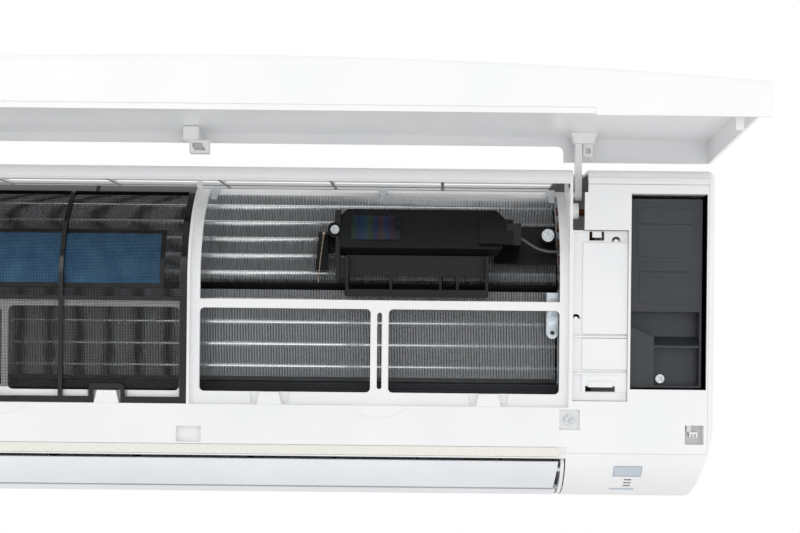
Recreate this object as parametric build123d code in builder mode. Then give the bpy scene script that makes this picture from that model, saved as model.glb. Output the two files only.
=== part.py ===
"""Wall-mounted mini split indoor unit with its front panel lifted, in millimetres.

Origin: on the wall, in the middle of the screw pattern of the installation plate.
+X runs to the viewer's right, +Y into the wall, +Z up. The front of the casing is at negative Y.
"""
from build123d import *
import math
import os

os.makedirs("parts", exist_ok=True)

# ---------------------------------------------------------------- driving dimensions
body_width = 800.0          # casing, side to side
body_height = 290.0         # casing, bottom to top
body_depth = 195.0          # wall to the flat front of the casing
wall = 2.5                  # moulded wall of casings
clear = 0.3                 # gap between pieces that only meet
run_fit = 0.06              # radial play of a shaft in its hole
split_depth = 45.0          # parting line between front and rear casing
top_front_radius = 10.0     # casing, along its top front edge
side_radius = 6.0           # casing, round its two ends
sweep_back = 113.0          # where the swept-back lower front reaches the bottom
lip_z = -100.0              # where the lower front starts to sweep back
outlet_top = -106.0         # lower edge of the front wall over the air outlet
left_section = 14.25        # left side to the first filter seat
right_section = 126.25      # second filter seat to the right side

# filter seats: two shallow bays in the front, each with windows onto the coil
bay_rib = 2.5
seat_flange = 7.65
seat_depth = 6.0
seat_thickness = 3.0
seat_bottom = -61.7
sill_height = 11.0
mid_rail_z = 25.75
mid_rail_height = 7.7
mid_post_width = 15.6
mid_post_slot = 4.2
window_radius = 4.0
top_rail_height = 12.5
bend_radius = 100.0         # the seats curve back over the coil from here up
bend_z = 45.0
bend_end_angle = 66.0
seat_rail_angle = 4.5       # cross rail along the top of a seat, in degrees of the bend

# air filter and its pad
filter_thickness = 3.6
filter_gap = 0.9            # filter frame to its seats
filter_rim = 5.5
filter_rib = 3.6
filter_end_angle = 62.0
mesh_thickness = 0.5
pad_thickness = 3.5
pad_width = 278.0
pad_low = 42.4
pad_high = 86.3

# coil: three fin packs bent round the fan
tube_radius = 3.5
tube_pitch = 19.6
row_pitch = 10.0
pack_depth = 20.0
pack_edge = 5.0             # face of a pack to its first row of tubes
lower_tubes = 4
upper_tubes = 5
rear_tubes = 3
lower_face_y = -161.0
lower_bottom = -38.9
upper_tilt = 36.8           # from vertical, leaning back
rear_tilt = 40.0            # from vertical, leaning forward
coil_left_margin = 20.0     # cheeks of the air duct to the fins
coil_right_margin = 4.5
end_plate = 1.2

# fan
fan_y = -80.0
fan_z = 5.0
fan_radius = 47.0
fan_blades = 24
fan_segments = 8
shaft_radius = 4.0
motor_radius = 40.0
motor_length = 44.0
bearing_radius = 12.0

# air outlet
cheek_out_left = 0.25       # cheeks of the duct against the outer filter seats
cheek_in_right = 2.75
cheek = 3.0
cheek_edge = 0.8            # cheeks behind the outer skin
scroll_gap_start = 5.0      # fan to scroll, where the scroll starts
scroll_gap_end = 11.0
scroll_end_angle = 125.0    # from straight up, round the back of the fan
vane_gap = 2.0
vane_skin = 2.2
pin_radius = 2.0
upper_pin_in = 11.0         # upper vane pivot, behind the front of the casing
upper_pin_z = -116.0
lower_pin_share = 0.512     # lower vane pivot, how far forward on the sweep
lower_pin_z = -134.0

# front panel and its hinge
panel_overhang = 3.5        # panel past each side of the casing
panel_low = -99.5           # lower and upper edge, when closed
panel_high = 143.0
panel_gap = 0.5             # panel rim to casing front, when closed
panel_wall = 2.5
panel_depth_low = 49.0      # rim to outer face, at the middle of the lower edge
panel_depth_high = 26.0
panel_bow_low = 15.5        # how much less at the ends
panel_bow_high = 3.0
panel_corner = 5.0
hinge_y = -164.5
hinge_z = 125.0
hinge_pin = 3.0
arm_width = 6.0
arm_slot = 10.25            # free width beside the outer walls of the seats, for the arms

# electrical end
elec_from_right = 73.0      # window, from the right side of the casing
elec_to_right = 7.0
elec_low = -45.4
elec_high = 124.3
cover_end_gap = 2.5         # between the electrical cover and the right end of the window
elec_flange = 44.0          # depth of the shelf along the top of the window

# ---------------------------------------------------------------- worked out from them
half_w = body_width / 2
half_h = body_height / 2
front_y = -body_depth
sweep_depth = body_depth - sweep_back
upper_pin = (front_y + upper_pin_in, upper_pin_z)        # (y, z)
lower_pin = (-sweep_back - lower_pin_share * sweep_depth, lower_pin_z)
top_rail_low = half_h - top_rail_height
seats_left = -half_w + left_section
seats_right = half_w - right_section
seat_width = (seats_right - seats_left - bay_rib) / 2
bay_centres = [seats_left + seat_width / 2, seats_right - seat_width / 2]
seat_y = front_y + seat_depth
seat_back_y = seat_y + seat_thickness
window_bottom = seat_bottom + sill_height
mid_rail_low = mid_rail_z - mid_rail_height / 2
mid_rail_high = mid_rail_z + mid_rail_height / 2
bend_y = front_y + bend_radius
panel_rim_z = hinge_z + (hinge_y - (front_y - panel_gap))
arm_centres = [seats_left - wall - arm_slot / 2 + 0.2, seats_right + wall + arm_slot * 0.67]
cheek_left = seats_left - cheek_out_left
cheek_right = seats_right - cheek_in_right
coil_left = cheek_left + coil_left_margin
coil_right = cheek_right - coil_right_margin
elec_left = half_w - elec_from_right
elec_right = half_w - elec_to_right


# ---------------------------------------------------------------- helpers
def slab(x0, x1, y0, y1, z0, z1, mode=Mode.ADD):
    """A box between two corners."""
    with Locations(((x0 + x1) / 2, (y0 + y1) / 2, (z0 + z1) / 2)):
        Box(x1 - x0, y1 - y0, z1 - z0, mode=mode)


def side_prism(points, x0, x1, mode=Mode.ADD):
    """An outline in Y and Z, carried from x0 to x1."""
    with BuildSketch(Plane.YZ.offset(x0)) as outline:
        Polygon(*points, align=None)
    extrude(outline.sketch, amount=x1 - x0, mode=mode)


def front_prism(points, y0, y1, mode=Mode.ADD):
    """An outline in X and Z, carried from depth y0 forward to y1."""
    with BuildSketch(Plane.XZ.offset(-y0)) as outline:
        Polygon(*points, align=None)
    extrude(outline.sketch, amount=y0 - y1, mode=mode)


def rod(centre, radius, x0, x1, mode=Mode.ADD):
    """A round bar along X through a point (y, z)."""
    with BuildSketch(Plane.YZ.offset(x0)) as outline:
        with Locations(centre):
            Circle(radius)
    extrude(outline.sketch, amount=x1 - x0, mode=mode)


def thick_path(points, thickness):
    """The outline of a plate of even thickness whose middle follows the points."""
    left = []
    right = []
    last = len(points) - 1
    for i, (u, v) in enumerate(points):
        before = points[max(i - 1, 0)]
        after = points[min(i + 1, last)]
        du = after[0] - before[0]
        dv = after[1] - before[1]
        length = math.hypot(du, dv)
        shift_u = -dv / length * thickness / 2
        shift_v = du / length * thickness / 2
        left.append((u + shift_u, v + shift_v))
        right.append((u - shift_u, v - shift_v))
    return left + right[::-1]


def bend_point(radius, angle):
    """A point (y, z) on the bend of the filter seats, the angle counted from its lower end."""
    turn = math.radians(angle)
    return (bend_y - radius * math.cos(turn), bend_z + radius * math.sin(turn))


def bend_strip(outer, inner, angle0, angle1, x0, x1, mode=Mode.ADD):
    """A curved plate along the bend, between two radii and two angles."""
    middle = (angle0 + angle1) / 2
    with BuildSketch(Plane.YZ.offset(x0)) as outline:
        with BuildLine():
            ThreePointArc(bend_point(outer, angle0), bend_point(outer, middle), bend_point(outer, angle1))
            Line(bend_point(outer, angle1), bend_point(inner, angle1))
            ThreePointArc(bend_point(inner, angle1), bend_point(inner, middle), bend_point(inner, angle0))
            Line(bend_point(inner, angle0), bend_point(outer, angle0))
        make_face()
    extrude(outline.sketch, amount=x1 - x0, mode=mode)


def sweep_point(angle, inset=0.0):
    """A point (y, z) on the quarter ellipse of the lower front."""
    turn = math.radians(angle)
    across = body_depth - sweep_back - inset
    down = half_h + lip_z - inset
    return (-sweep_back - across * math.cos(turn), lip_z - down * math.sin(turn))


def sweep_angle(z):
    """The ellipse angle at which the lower front reaches the height z."""
    return math.degrees(math.asin((lip_z - z) / (half_h + lip_z)))


def sweep_normal(angle):
    """Outward direction (y, z) of the lower front at an ellipse angle."""
    turn = math.radians(angle)
    across = body_depth - sweep_back
    down = half_h + lip_z
    ny = -math.cos(turn) / across
    nz = -math.sin(turn) / down
    size = math.hypot(ny, nz)
    return (ny / size, nz / size)


def casing_block(inset, back, mode=Mode.ADD):
    """The casing as a block: flat top and front, lower front swept back in a quarter ellipse."""
    radius = top_front_radius - inset
    front = front_y + inset
    top = half_h - inset
    bottom = -half_h + inset
    bow = radius * (1 - math.sqrt(0.5))
    with BuildSketch(Plane.YZ.offset(-half_w + inset)) as outline:
        with BuildLine():
            Line((-back, top), (front + radius, top))
            ThreePointArc((front + radius, top), (front + bow, top - bow), (front, top - radius))
            Line((front, top - radius), (front, lip_z))
            EllipticalCenterArc((-sweep_back, lip_z), body_depth - inset - sweep_back,
                                half_h - inset + lip_z, start_angle=180, arc_size=90)
            Line((-sweep_back, bottom), (-back, bottom))
            Line((-back, bottom), (-back, top))
        make_face()
    extrude(outline.sketch, amount=body_width - 2 * inset, mode=mode)


# ---------------------------------------------------------------- coil layout, shared by its pieces
def pack_frame(start, direction, normal):
    """Returns a function that turns (along, into) of a fin pack into (y, z)."""
    def place(along, into):
        return (start[0] + direction[0] * along + normal[0] * into,
                start[1] + direction[1] * along + normal[1] * into)
    return place


tilt_sin = math.sin(math.radians(upper_tilt))
tilt_cos = math.cos(math.radians(upper_tilt))
rear_sin = math.sin(math.radians(rear_tilt))
rear_cos = math.cos(math.radians(rear_tilt))

lower_place = pack_frame((lower_face_y, lower_bottom), (0, 1), (1, 0))
lower_length = lower_tubes * tube_pitch
upper_start = (lower_face_y - 2.9, lower_bottom + lower_length + 8.0)
upper_place = pack_frame(upper_start, (tilt_sin, tilt_cos), (tilt_cos, -tilt_sin))
upper_length = upper_tubes * tube_pitch + 6.0
upper_inner_top = upper_place(upper_length, pack_depth)
rear_start = (upper_inner_top[0] + 2.0, upper_inner_top[1] - 2.4)
rear_place = pack_frame(rear_start, (rear_sin, -rear_cos), (rear_cos, rear_sin))
rear_length = rear_tubes * tube_pitch


def tube_rows(place, count, spare, first_row, second_row):
    """Tube centres of one pack: its first row, and the second row, half a pitch further on."""
    first = [place((k + 0.5) * tube_pitch, first_row) for k in range(count)]
    second = [place((k + 1) * tube_pitch, second_row) for k in range(count - 1 + spare)]
    return first, second


lower_rows = tube_rows(lower_place, lower_tubes, 0, pack_edge, pack_edge + row_pitch)
upper_rows = tube_rows(upper_place, upper_tubes, 1, pack_edge, pack_edge + row_pitch)
rear_rows = tube_rows(rear_place, rear_tubes, 0, pack_depth - pack_edge, pack_depth - pack_edge - row_pitch)
all_rows = [lower_rows, upper_rows, rear_rows]
all_tubes = [centre for rows in all_rows for row in rows for centre in row]

# the lower pack is cut along the slanted end of the upper one, with this gap
pack_gap = 1.0
notch = upper_place(-pack_gap, pack_depth)
notch_run = (lower_bottom + lower_length - notch[1]) / tilt_sin
notch_start = (notch[0] - tilt_cos * notch_run, lower_bottom + lower_length)
notch_end_y = lower_face_y + pack_depth
notch_end = (notch_end_y, notch_start[1] - (notch_end_y - notch_start[0]) * tilt_sin / tilt_cos)
lower_outline = [lower_place(0, 0), lower_place(0, pack_depth), notch_end, notch_start,
                 lower_place(lower_length, 0)]
upper_outline = [upper_place(0, 0), upper_place(0, pack_depth), upper_place(upper_length, pack_depth),
                 upper_place(upper_length, 0)]
rear_outline = [rear_place(0, 0), rear_place(0, pack_depth), rear_place(rear_length, pack_depth),
                rear_place(rear_length, 0)]


def fin_pack(outline):
    """The stack of aluminium fins, as one block with its tube holes."""
    side_prism(outline, coil_left, coil_right)
    for centre in all_tubes:
        rod(centre, tube_radius + run_fit, coil_left, coil_right, mode=Mode.SUBTRACT)


# ---------------------------------------------------------------- air duct layout
def scroll_points():
    """The rear guide round the fan: a spiral that opens towards the outlet, then a straight run."""
    points = []
    start_angle = 45.0
    steps = 10
    for i in range(steps + 1):
        part = i / steps
        turn = math.radians(start_angle + (scroll_end_angle - start_angle) * part)
        radius = fan_radius + scroll_gap_start + (scroll_gap_end - scroll_gap_start) * part
        points.append((fan_y + radius * math.sin(turn), fan_z + radius * math.cos(turn)))
    last = points[-1]
    turn = math.radians(scroll_end_angle)
    run = (last[1] + half_h - wall - 3.0) / math.sin(turn)
    points.append((last[0] + run * math.cos(turn), last[1] - run * math.sin(turn)))
    return points


scroll = scroll_points()
tongue = [(fan_y - 42.0, fan_z - 35.0), (fan_y - 48.0, fan_z - 63.0), (front_y + 6.0, lip_z - 3.0)]
duct_run = (tongue[2][0] - tongue[1][0], tongue[2][1] - tongue[1][1])
duct_length = math.hypot(*duct_run)
flow = (duct_run[0] / duct_length, duct_run[1] / duct_length)
into_duct = (-flow[1], flow[0])
pan_floor_z = lower_bottom - 17.3

# ================================================================ fixed body
with BuildPart() as installation_plate:
    plate_width = 580.0
    plate_height = 210.0
    plate_thickness = 1.5
    screw_pitch_x = 500.0
    screw_pitch_z = 170.0
    hook_x = 170.0
    hook_width = 30.0
    hook_z = 118.0
    slab(-plate_width / 2, plate_width / 2, -plate_thickness, 0, -plate_height / 2, plate_height / 2)
    slab(-hook_x - hook_width, hook_x + hook_width, -plate_thickness, 0, plate_height / 2 - 1, hook_z)
    for side in (-1, 1):
        hook_centre = side * hook_x
        slab(hook_centre - hook_width / 2, hook_centre + hook_width / 2, -18.3, 0, hook_z - 2, hook_z)
        slab(hook_centre - hook_width / 2, hook_centre + hook_width / 2, -18.3, -16.8, hook_z - 2, hook_z + 7)
    with BuildSketch(Plane.XZ) as screw_holes:
        with GridLocations(screw_pitch_x, screw_pitch_z, 2, 2):
            Circle(2.6)
        with GridLocations(110, 90, 4, 2):
            SlotOverall(60, 24)
    extrude(amount=plate_thickness, mode=Mode.SUBTRACT)
installation_plate.part.label = "installation_plate"
export_step(installation_plate.part, "parts/installation_plate.step")

plate_recess = 14.0         # room behind the rear casing for the installation plate
back_y = -plate_recess - wall

# air intake in the top: the grille in the front casing, and slots behind it in the rear casing
grille_y0 = -150.0
grille_y1 = -47.0
grille_left = seats_left + 3.0
grille_right = seats_right - 3.0
rib_pitch = 104.5
rib_width = 3.0
frame_edge = 4.75
rear_slot_y0 = -43.0
rear_slot_y1 = -21.0
grille_columns = int((grille_right - grille_left - frame_edge) // rib_pitch)
grille_slots = [(grille_right - frame_edge - (k + 1) * rib_pitch + rib_width,
                 grille_right - frame_edge - k * rib_pitch) for k in range(grille_columns)]

with BuildPart() as rear_casing:
    slab(-half_w, half_w, -split_depth + clear, -0.5, -half_h, half_h)
    slab(-half_w + wall, half_w - wall, -split_depth, 0, -half_h + wall, half_h - wall, mode=Mode.SUBTRACT)
    slab(-half_w + 1, half_w - 1, back_y, -plate_recess, -85, half_h - 1)
    for side in (-1, 1):
        slab(side * hook_x - hook_width / 2 - 2, side * hook_x + hook_width / 2 + 2, back_y, -plate_recess,
             hook_z - 6, hook_z + clear, mode=Mode.SUBTRACT)
    for x0, x1 in grille_slots:
        slab(x0, x1, rear_slot_y0, rear_slot_y1, half_h - wall - 1, half_h + 1, mode=Mode.SUBTRACT)
    side_prism(thick_path(scroll, wall), cheek_left + 1, cheek_right - 1)
    for x0 in (cheek_left, cheek_right - cheek):
        duct_side = [tongue[1], tongue[0], (tongue[0][0] - 8, fan_z + 22), (fan_y - 28, fan_z + 53),
                     (fan_y + 20, fan_z + 53)]
        duct_side += scroll
        duct_side += [sweep_point(87 - 6 * k, cheek_edge) for k in range(13)]
        duct_side.append(tongue[2])
        side_prism(duct_side, x0, x0 + cheek)
        side_prism([(scroll[0][0] - 4, scroll[0][1]), (back_y + 1, scroll[0][1] + 4), (back_y + 1, -60),
                    (scroll[10][0], scroll[10][1])], x0, x0 + cheek)
    trough_z = rear_place(rear_length, 0)[1] - 10.0
    slab(cheek_left, cheek_right, rear_place(rear_length, 0)[0] - 6, back_y + 1, trough_z - wall, trough_z)
    slab(cheek_left, cheek_right, rear_place(rear_length, 0)[0] - 6 - wall, rear_place(rear_length, 0)[0] - 6,
         trough_z - wall, trough_z + 6)
    side_prism([(scroll[0][0] - wall, scroll[0][1] - 1), (scroll[0][0] + wall, scroll[0][1] - 1),
                (scroll[0][0] + wall, trough_z - 1), (scroll[0][0] - wall, trough_z - 1)],
               cheek_left, cheek_right)
    rod((fan_y, fan_z), bearing_radius + run_fit, cheek_left - 1, cheek_left + cheek + 1, mode=Mode.SUBTRACT)
    rod((fan_y, fan_z), shaft_radius + 4, cheek_right - cheek - 1, cheek_right + 1, mode=Mode.SUBTRACT)
    for pin in (upper_pin, lower_pin):
        rod(pin, pin_radius + run_fit, cheek_left - 1, cheek_left + cheek + 1, mode=Mode.SUBTRACT)
        rod(pin, pin_radius + run_fit, cheek_right - cheek - 1, cheek_right + 1, mode=Mode.SUBTRACT)
rear_casing.part.label = "rear_casing"
export_step(rear_casing.part, "parts/rear_casing.step")

# openings in the front casing that other pieces sit in
tab_offset = seat_width * 0.2892     # filter catch tabs, from the middle of a bay
tab_half_low = 11.0
tab_half_high = 8.2
sill_notch = 13.2
notch_depth = 2.0
latch_x0 = half_w - 24.9
latch_x1 = half_w - 8.8
latch_z0 = -92.7
latch_z1 = -76.2
pocket_x = seats_right + 1.4
pocket_z = -72.3
pocket_size = 17.5
pocket_depth = 4.6
recess_x = (bay_centres[0] + bay_centres[1]) / 2 + 1.0
recess_width = 21.5
recess_low = -94.6
recess_high = -81.0
slot_low = 92.4             # lower end of the hinge arm slots
display_left = half_w - 85.5
display_width = 24.6
display_high = -112.3
display_low = -121.8
display_slant = 0.65
bar_left = display_left + 10.0
bar_width = 6.4
bar_height = 1.1
bar_slant = 0.2
bar_rows = [-125.0, -128.1, -131.0]
button_x = display_left + 9.4
button_width = 21.4
button_height = 2.4
button_angle = sweep_angle(-134.5)
service_left = seats_right + wall
service_right = elec_left - 2.0
service_low = -56.0
service_depth = 8.0
flange_plate = 1.4
groove = 0.4


hook_hole = (service_left + 15.0, service_left + 28.0, 83.6, 91.4)
slot_hole = (service_left + 12.4, service_left + 38.4, -47.9, -43.0)
service_rings = [(service_left + 38.3, 83.0), (service_left + 3.9, 15.3)]   # half round holes, (x, z)
ring_outer = 4.2
ring_inner = 2.0
service_holes = [hook_hole, slot_hole]
for ring_x, ring_z in service_rings:
    service_holes.append((ring_x - ring_outer + 1, ring_x + ring_outer - 1, ring_z, ring_z + ring_outer))


def slanted(left, width, low, high, slant, grow=0.0):
    """A slanted four-sided outline in X and Z."""
    return [(left - slant - grow, low - grow), (left - slant + width + grow, low - grow),
            (left + width + grow, high + grow), (left - grow, high + grow)]


def button_bar(height, width, back, out, mode=Mode.ADD):
    """The key of the emergency button, square to the curved front."""
    point = sweep_point(button_angle)
    normal = sweep_normal(button_angle)
    plane = Plane(origin=(button_x, point[0] - normal[0] * back, point[1] - normal[1] * back),
                  x_dir=(1, 0, 0), z_dir=(0, normal[0], normal[1]))
    with BuildSketch(plane) as outline:
        RectangleRounded(width, height, height * 0.45)
    extrude(outline.sketch, amount=back + out, mode=mode)


def trim_corners(inset):
    """Plane cuts that draw the two lower corners in towards the bottom."""
    for side in (-1, 1):
        normal = (side, -corner_turn, -corner_lean)
        split(bisect_by=Plane(origin=(side * (half_w - corner_in - inset), front_y, lip_z),
                              x_dir=(0, -corner_lean,
              corner_turn), z_dir=normal), keep=Keep.BOTTOM)


corner_in = 5.0             # at the start of the sweep
corner_turn = 0.053         # how fast the cut runs out towards the back, and upwards
corner_lean = 0.277

with BuildPart() as casing_inside:
    casing_block(wall, split_depth)
    trim_corners(wall)

with BuildPart() as front_casing:
    casing_block(0, split_depth)
    end_edges = front_casing.edges().filter_by(lambda e: abs(abs(e.center().X) - half_w) < 0.01
                                               and e.center().Y < -split_depth - 1)
    fillet(end_edges, side_radius)
    trim_corners(0)
    add(casing_inside.part, mode=Mode.SUBTRACT)
    # plate behind the filter seats, and blocks behind the small pockets
    slab(seats_left - wall, seats_right + wall, front_y + 1, seat_back_y, seat_bottom - wall, bend_z)
    slab(pocket_x - pocket_size / 2 - wall, pocket_x + pocket_size / 2 + wall, front_y + 1,
         front_y + pocket_depth + wall, pocket_z - pocket_size / 2 - wall, pocket_z + pocket_size / 2 + wall)
    slab(recess_x - recess_width / 2 - wall, recess_x + recess_width / 2 + wall, front_y + 1,
         front_y + seat_depth + wall, recess_low - wall, recess_high + wall)
    slab(service_left - wall, service_right + wall, front_y + 1, front_y + service_depth + wall,
         service_low - wall, slot_low)
    # the bays are open from the sill to the top rail
    for centre in bay_centres:
        slab(centre - seat_width / 2, centre + seat_width / 2, front_y - 1, seat_y, seat_bottom, top_rail_low,
             mode=Mode.SUBTRACT)
    slab(seats_left, seats_right, front_y - 1, front_y + wall + 0.5, bend_z, top_rail_low, mode=Mode.SUBTRACT)
    # ribs and flanges that follow the bend
    side_walls = [seats_left - wall, (bay_centres[0] + bay_centres[1]) / 2 - bay_rib / 2, seats_right]
    for x0 in side_walls:
        bend_strip(bend_radius, bend_radius - 12, 0, bend_end_angle, x0, x0 + wall)
        tie_low = bend_point(bend_radius, bend_end_angle - 8)
        slab(x0, x0 + wall, tie_low[0], tie_low[0] + 12, tie_low[1] - 6, half_h - 1)
    for centre in bay_centres:
        left = centre - seat_width / 2
        right = centre + seat_width / 2
        flange_outer = bend_radius - seat_depth
        for x0 in (left - 0.5, right - seat_flange):
            bend_strip(flange_outer, flange_outer - seat_thickness, 0, bend_end_angle, x0,
                       x0 + seat_flange + 0.5)
        bend_strip(flange_outer, flange_outer - seat_thickness, bend_end_angle - seat_rail_angle,
                   bend_end_angle, left - 0.5, right + 0.5)
    # windows: one high one and two low ones in each bay
    for centre in bay_centres:
        window_half = seat_width / 2 - seat_flange
        slab(centre - window_half, centre + window_half, seat_y - 1, seat_back_y + 0.5, mid_rail_high, bend_z,
             mode=Mode.SUBTRACT)
        low_width = window_half - mid_post_width / 2
        with BuildSketch(Plane.XZ.offset(-seat_back_y - 0.5)):
            for side in (-1, 1):
                middle = centre + side * (mid_post_width / 2 + low_width / 2)
                with Locations((middle, (window_bottom + mid_rail_low) / 2)):
                    RectangleRounded(low_width, mid_rail_low - window_bottom, window_radius)
            with Locations((centre, (window_bottom + mid_rail_low) / 2)):
                SlotOverall(mid_rail_low - window_bottom - 6, mid_post_slot, rotation=90)
        extrude(amount=seat_thickness + 2, mode=Mode.SUBTRACT)
        for side in (-1, 1):
            for notch_side in (-1, 1):
                at = centre + side * tab_offset + notch_side * sill_notch
                front_prism([(at - 4.5, window_bottom + 1), (at - 3, seat_bottom + 1.5),
                             (at + 3, seat_bottom + 1.5),
                             (at + 4.5, window_bottom + 1)], seat_y + notch_depth, seat_y - 1,
                            mode=Mode.SUBTRACT)
            at = centre + side * tab_offset
            front_prism([(at - tab_half_low, seat_bottom - 0.5), (at + tab_half_low, seat_bottom - 0.5),
                         (at + tab_half_high, window_bottom), (at - tab_half_high, window_bottom)],
                        seat_y, front_y + 0.5)
        # thumb mark under the filter handle
        with BuildSketch(Plane.XZ.offset(-front_y - 0.5)):
            with Locations((centre, seat_bottom + 27.6)):
                Circle(38.6)
            with Locations((centre, seat_bottom + 40)):
                Rectangle(100, 80, mode=Mode.SUBTRACT)
        extrude(amount=2, mode=Mode.SUBTRACT)
    # holes behind those of the service cover
    with BuildSketch(Plane.XZ.offset(-front_y - service_depth - wall - 1)):
        for x0, x1, z0, z1 in service_holes:
            with Locations(((x0 + x1) / 2, (z0 + z1) / 2)):
                Rectangle(x1 - x0, z1 - z0)
    extrude(amount=wall + 3, mode=Mode.SUBTRACT)
    # small pockets and holes
    slab(pocket_x - pocket_size / 2, pocket_x + pocket_size / 2, front_y - 1, front_y + pocket_depth,
         pocket_z - pocket_size / 2, pocket_z + pocket_size / 2, mode=Mode.SUBTRACT)
    with BuildSketch(Plane.XZ.offset(-front_y - 30)):
        with Locations((pocket_x, pocket_z)):
            Circle(2.1)
    extrude(amount=30, mode=Mode.SUBTRACT)
    slab(recess_x - recess_width / 2, recess_x + recess_width / 2, front_y - 1, front_y + seat_depth,
         recess_low,
         recess_high, mode=Mode.SUBTRACT)
    slab(latch_x0, latch_x1, front_y - 1, front_y + 6, latch_z0, latch_z1, mode=Mode.SUBTRACT)
    # service recess, electrical window and the slots of the hinge arms
    slab(service_left + 1, service_right, front_y - 1, front_y + service_depth, service_low, slot_low,
         mode=Mode.SUBTRACT)
    slab(elec_left, elec_right, front_y - 1, front_y + wall + 1, elec_low, elec_high, mode=Mode.SUBTRACT)
    slab(seats_right + wall, seats_right + wall + arm_slot, front_y - 1, hinge_y + 14, slot_low, half_h + 1,
         mode=Mode.SUBTRACT)
    slab(seats_right + wall + 1, seats_right + wall + arm_slot + 3, front_y - 1, hinge_y + 14, half_h - 20,
         half_h + 1, mode=Mode.SUBTRACT)
    slab(-half_w + wall, seats_left - wall, front_y - 1, hinge_y + 14, slot_low, half_h + 1,
         mode=Mode.SUBTRACT)
    # hinge lugs on the outer walls of the seats
    lug_walls = [seats_left - wall, seats_right]
    for x0 in lug_walls:
        with BuildSketch(Plane.YZ.offset(x0)):
            with Locations((hinge_y, hinge_z)):
                Circle(7)
            Polygon((hinge_y - 5, hinge_z - 5), (hinge_y + 5, hinge_z + 5), bend_point(bend_radius - 4, 48),
                    bend_point(bend_radius - 4, 38), align=None)
        extrude(amount=wall)
        rod((hinge_y, hinge_z), hinge_pin + run_fit, x0 - 1, x0 + wall + 1, mode=Mode.SUBTRACT)
    rod((hinge_y - 12.5, hinge_z - 15), 7, seats_right, seats_right + wall + 6)
    # air intake in the top, air outlet in the lower front
    slab(grille_left, grille_right, grille_y0, grille_y1, half_h - wall - 1, half_h + 1, mode=Mode.SUBTRACT)
    slab(cheek_left - 1, cheek_right + 1, front_y - 1, -sweep_back - 1, -half_h - 1, outlet_top,
         mode=Mode.SUBTRACT)
    # shelf along the top of the electrical window
    slab(elec_left, elec_right, front_y + 1, front_y + elec_flange, elec_high, elec_high + flange_plate)
    # fine grooves: along the crease over the sweep, down the side and across the top at the right end
    slab(seats_right - 2, half_w - corner_in, front_y - 1, front_y + groove, lip_z - 1.5, lip_z - 1,
         mode=Mode.SUBTRACT)
    slab(half_w - 5.7, half_w - 5.3, front_y - 1, front_y + groove, lip_z, half_h - top_front_radius,
         mode=Mode.SUBTRACT)
    slab(seats_left, seats_right, front_y - 1, front_y + groove, top_rail_low + 1.2, top_rail_low + 1.7,
         mode=Mode.SUBTRACT)
    for groove_z in (half_h - 6.7, half_h - 12.8):
        slab(service_left + arm_slot, half_w - 5.7, front_y - 1, front_y + groove + 0.7, groove_z - 0.3,
             groove_z + 0.3, mode=Mode.SUBTRACT)
    # seat of the foam strip
    slab(seats_left, seats_right - 2, front_y - 1, front_y + 1.2, outlet_top + 1.2, outlet_top + 10,
         mode=Mode.SUBTRACT)
    # display window, indicator slits and button hole
    front_prism(slanted(display_left, display_width, display_low, display_high, display_slant), -140,
                front_y - 1,
                mode=Mode.SUBTRACT)
    for row in bar_rows:
        front_prism(slanted(bar_left, bar_width, row - bar_height / 2, row + bar_height / 2,
                            bar_slant), -140, front_y - 1, mode=Mode.SUBTRACT)
    button_bar(button_height + 2 * clear, button_width + 2 * clear, 12, 6, mode=Mode.SUBTRACT)
front_casing.part.label = "front_casing"
export_step(front_casing.part, "parts/front_casing.step")

with BuildPart() as intake_grille:
    slat = 3.0
    slat_height = 1.0
    slat_pitch = 24.0
    slab(grille_left + clear, grille_right - clear, grille_y0 + clear, grille_y1 - clear, half_h - wall,
         half_h)
    for x0, x1 in grille_slots:
        slab(x0, x1, grille_y0 + frame_edge, grille_y1 - frame_edge, half_h - wall - 1, half_h + 1,
             mode=Mode.SUBTRACT)
    for row in (-1, 0, 1):
        slat_y = (grille_y0 + grille_y1) / 2 + row * slat_pitch
        slab(grille_left + frame_edge, grille_right - frame_edge / 2, slat_y - slat / 2, slat_y + slat / 2,
             half_h - slat_height, half_h)
intake_grille.part.label = "intake_grille"
export_step(intake_grille.part, "parts/intake_grille.step")

with BuildPart() as foam_seal:
    slab(seats_left + clear, seats_right - 2 - clear, front_y, front_y + 1.2, outlet_top + 1.5,
         outlet_top + 9.7)
foam_seal.part.label = "foam_seal"
export_step(foam_seal.part, "parts/foam_seal.step")

with BuildPart() as outlet_frame:
    frame_left = cheek_left + cheek + clear
    frame_right = cheek_right - cheek - clear
    side_prism(thick_path(tongue, wall), frame_left, frame_right)
    slab(frame_left, frame_right, lower_face_y - 9, tongue[1][0] - 4, pan_floor_z - 2 - wall - clear,
         pan_floor_z - 2 - clear)
    slab(frame_left, frame_right, front_y + wall + 2 * clear, tongue[2][0] + 1, tongue[2][1] - 1,
         recess_low - wall - clear)
    louvre_pitch = 75.0
    louvre_count = 4
    louvre_groups = [bay_centres[0], bay_centres[1] - 4]
    louvre_along = 40.0
    louvre_root = (tongue[1][0] + flow[0] * louvre_along + into_duct[0] * wall / 2,
                   tongue[1][1] + flow[1] * louvre_along + into_duct[1] * wall / 2)
    louvre_x = [[middle + (k - (louvre_count - 1) / 2) * louvre_pitch for k in range(louvre_count)]
                for middle in louvre_groups]
    for group in louvre_x:
        for x in group:
            with BuildSketch(Plane(origin=(x, louvre_root[0], louvre_root[1]), x_dir=(1, 0, 0),
                                   z_dir=(0, -into_duct[0], -into_duct[1]))):
                Circle(pin_radius + run_fit)
            extrude(amount=wall + 1, mode=Mode.SUBTRACT)
outlet_frame.part.label = "outlet_frame"
export_step(outlet_frame.part, "parts/outlet_frame.step")

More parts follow.
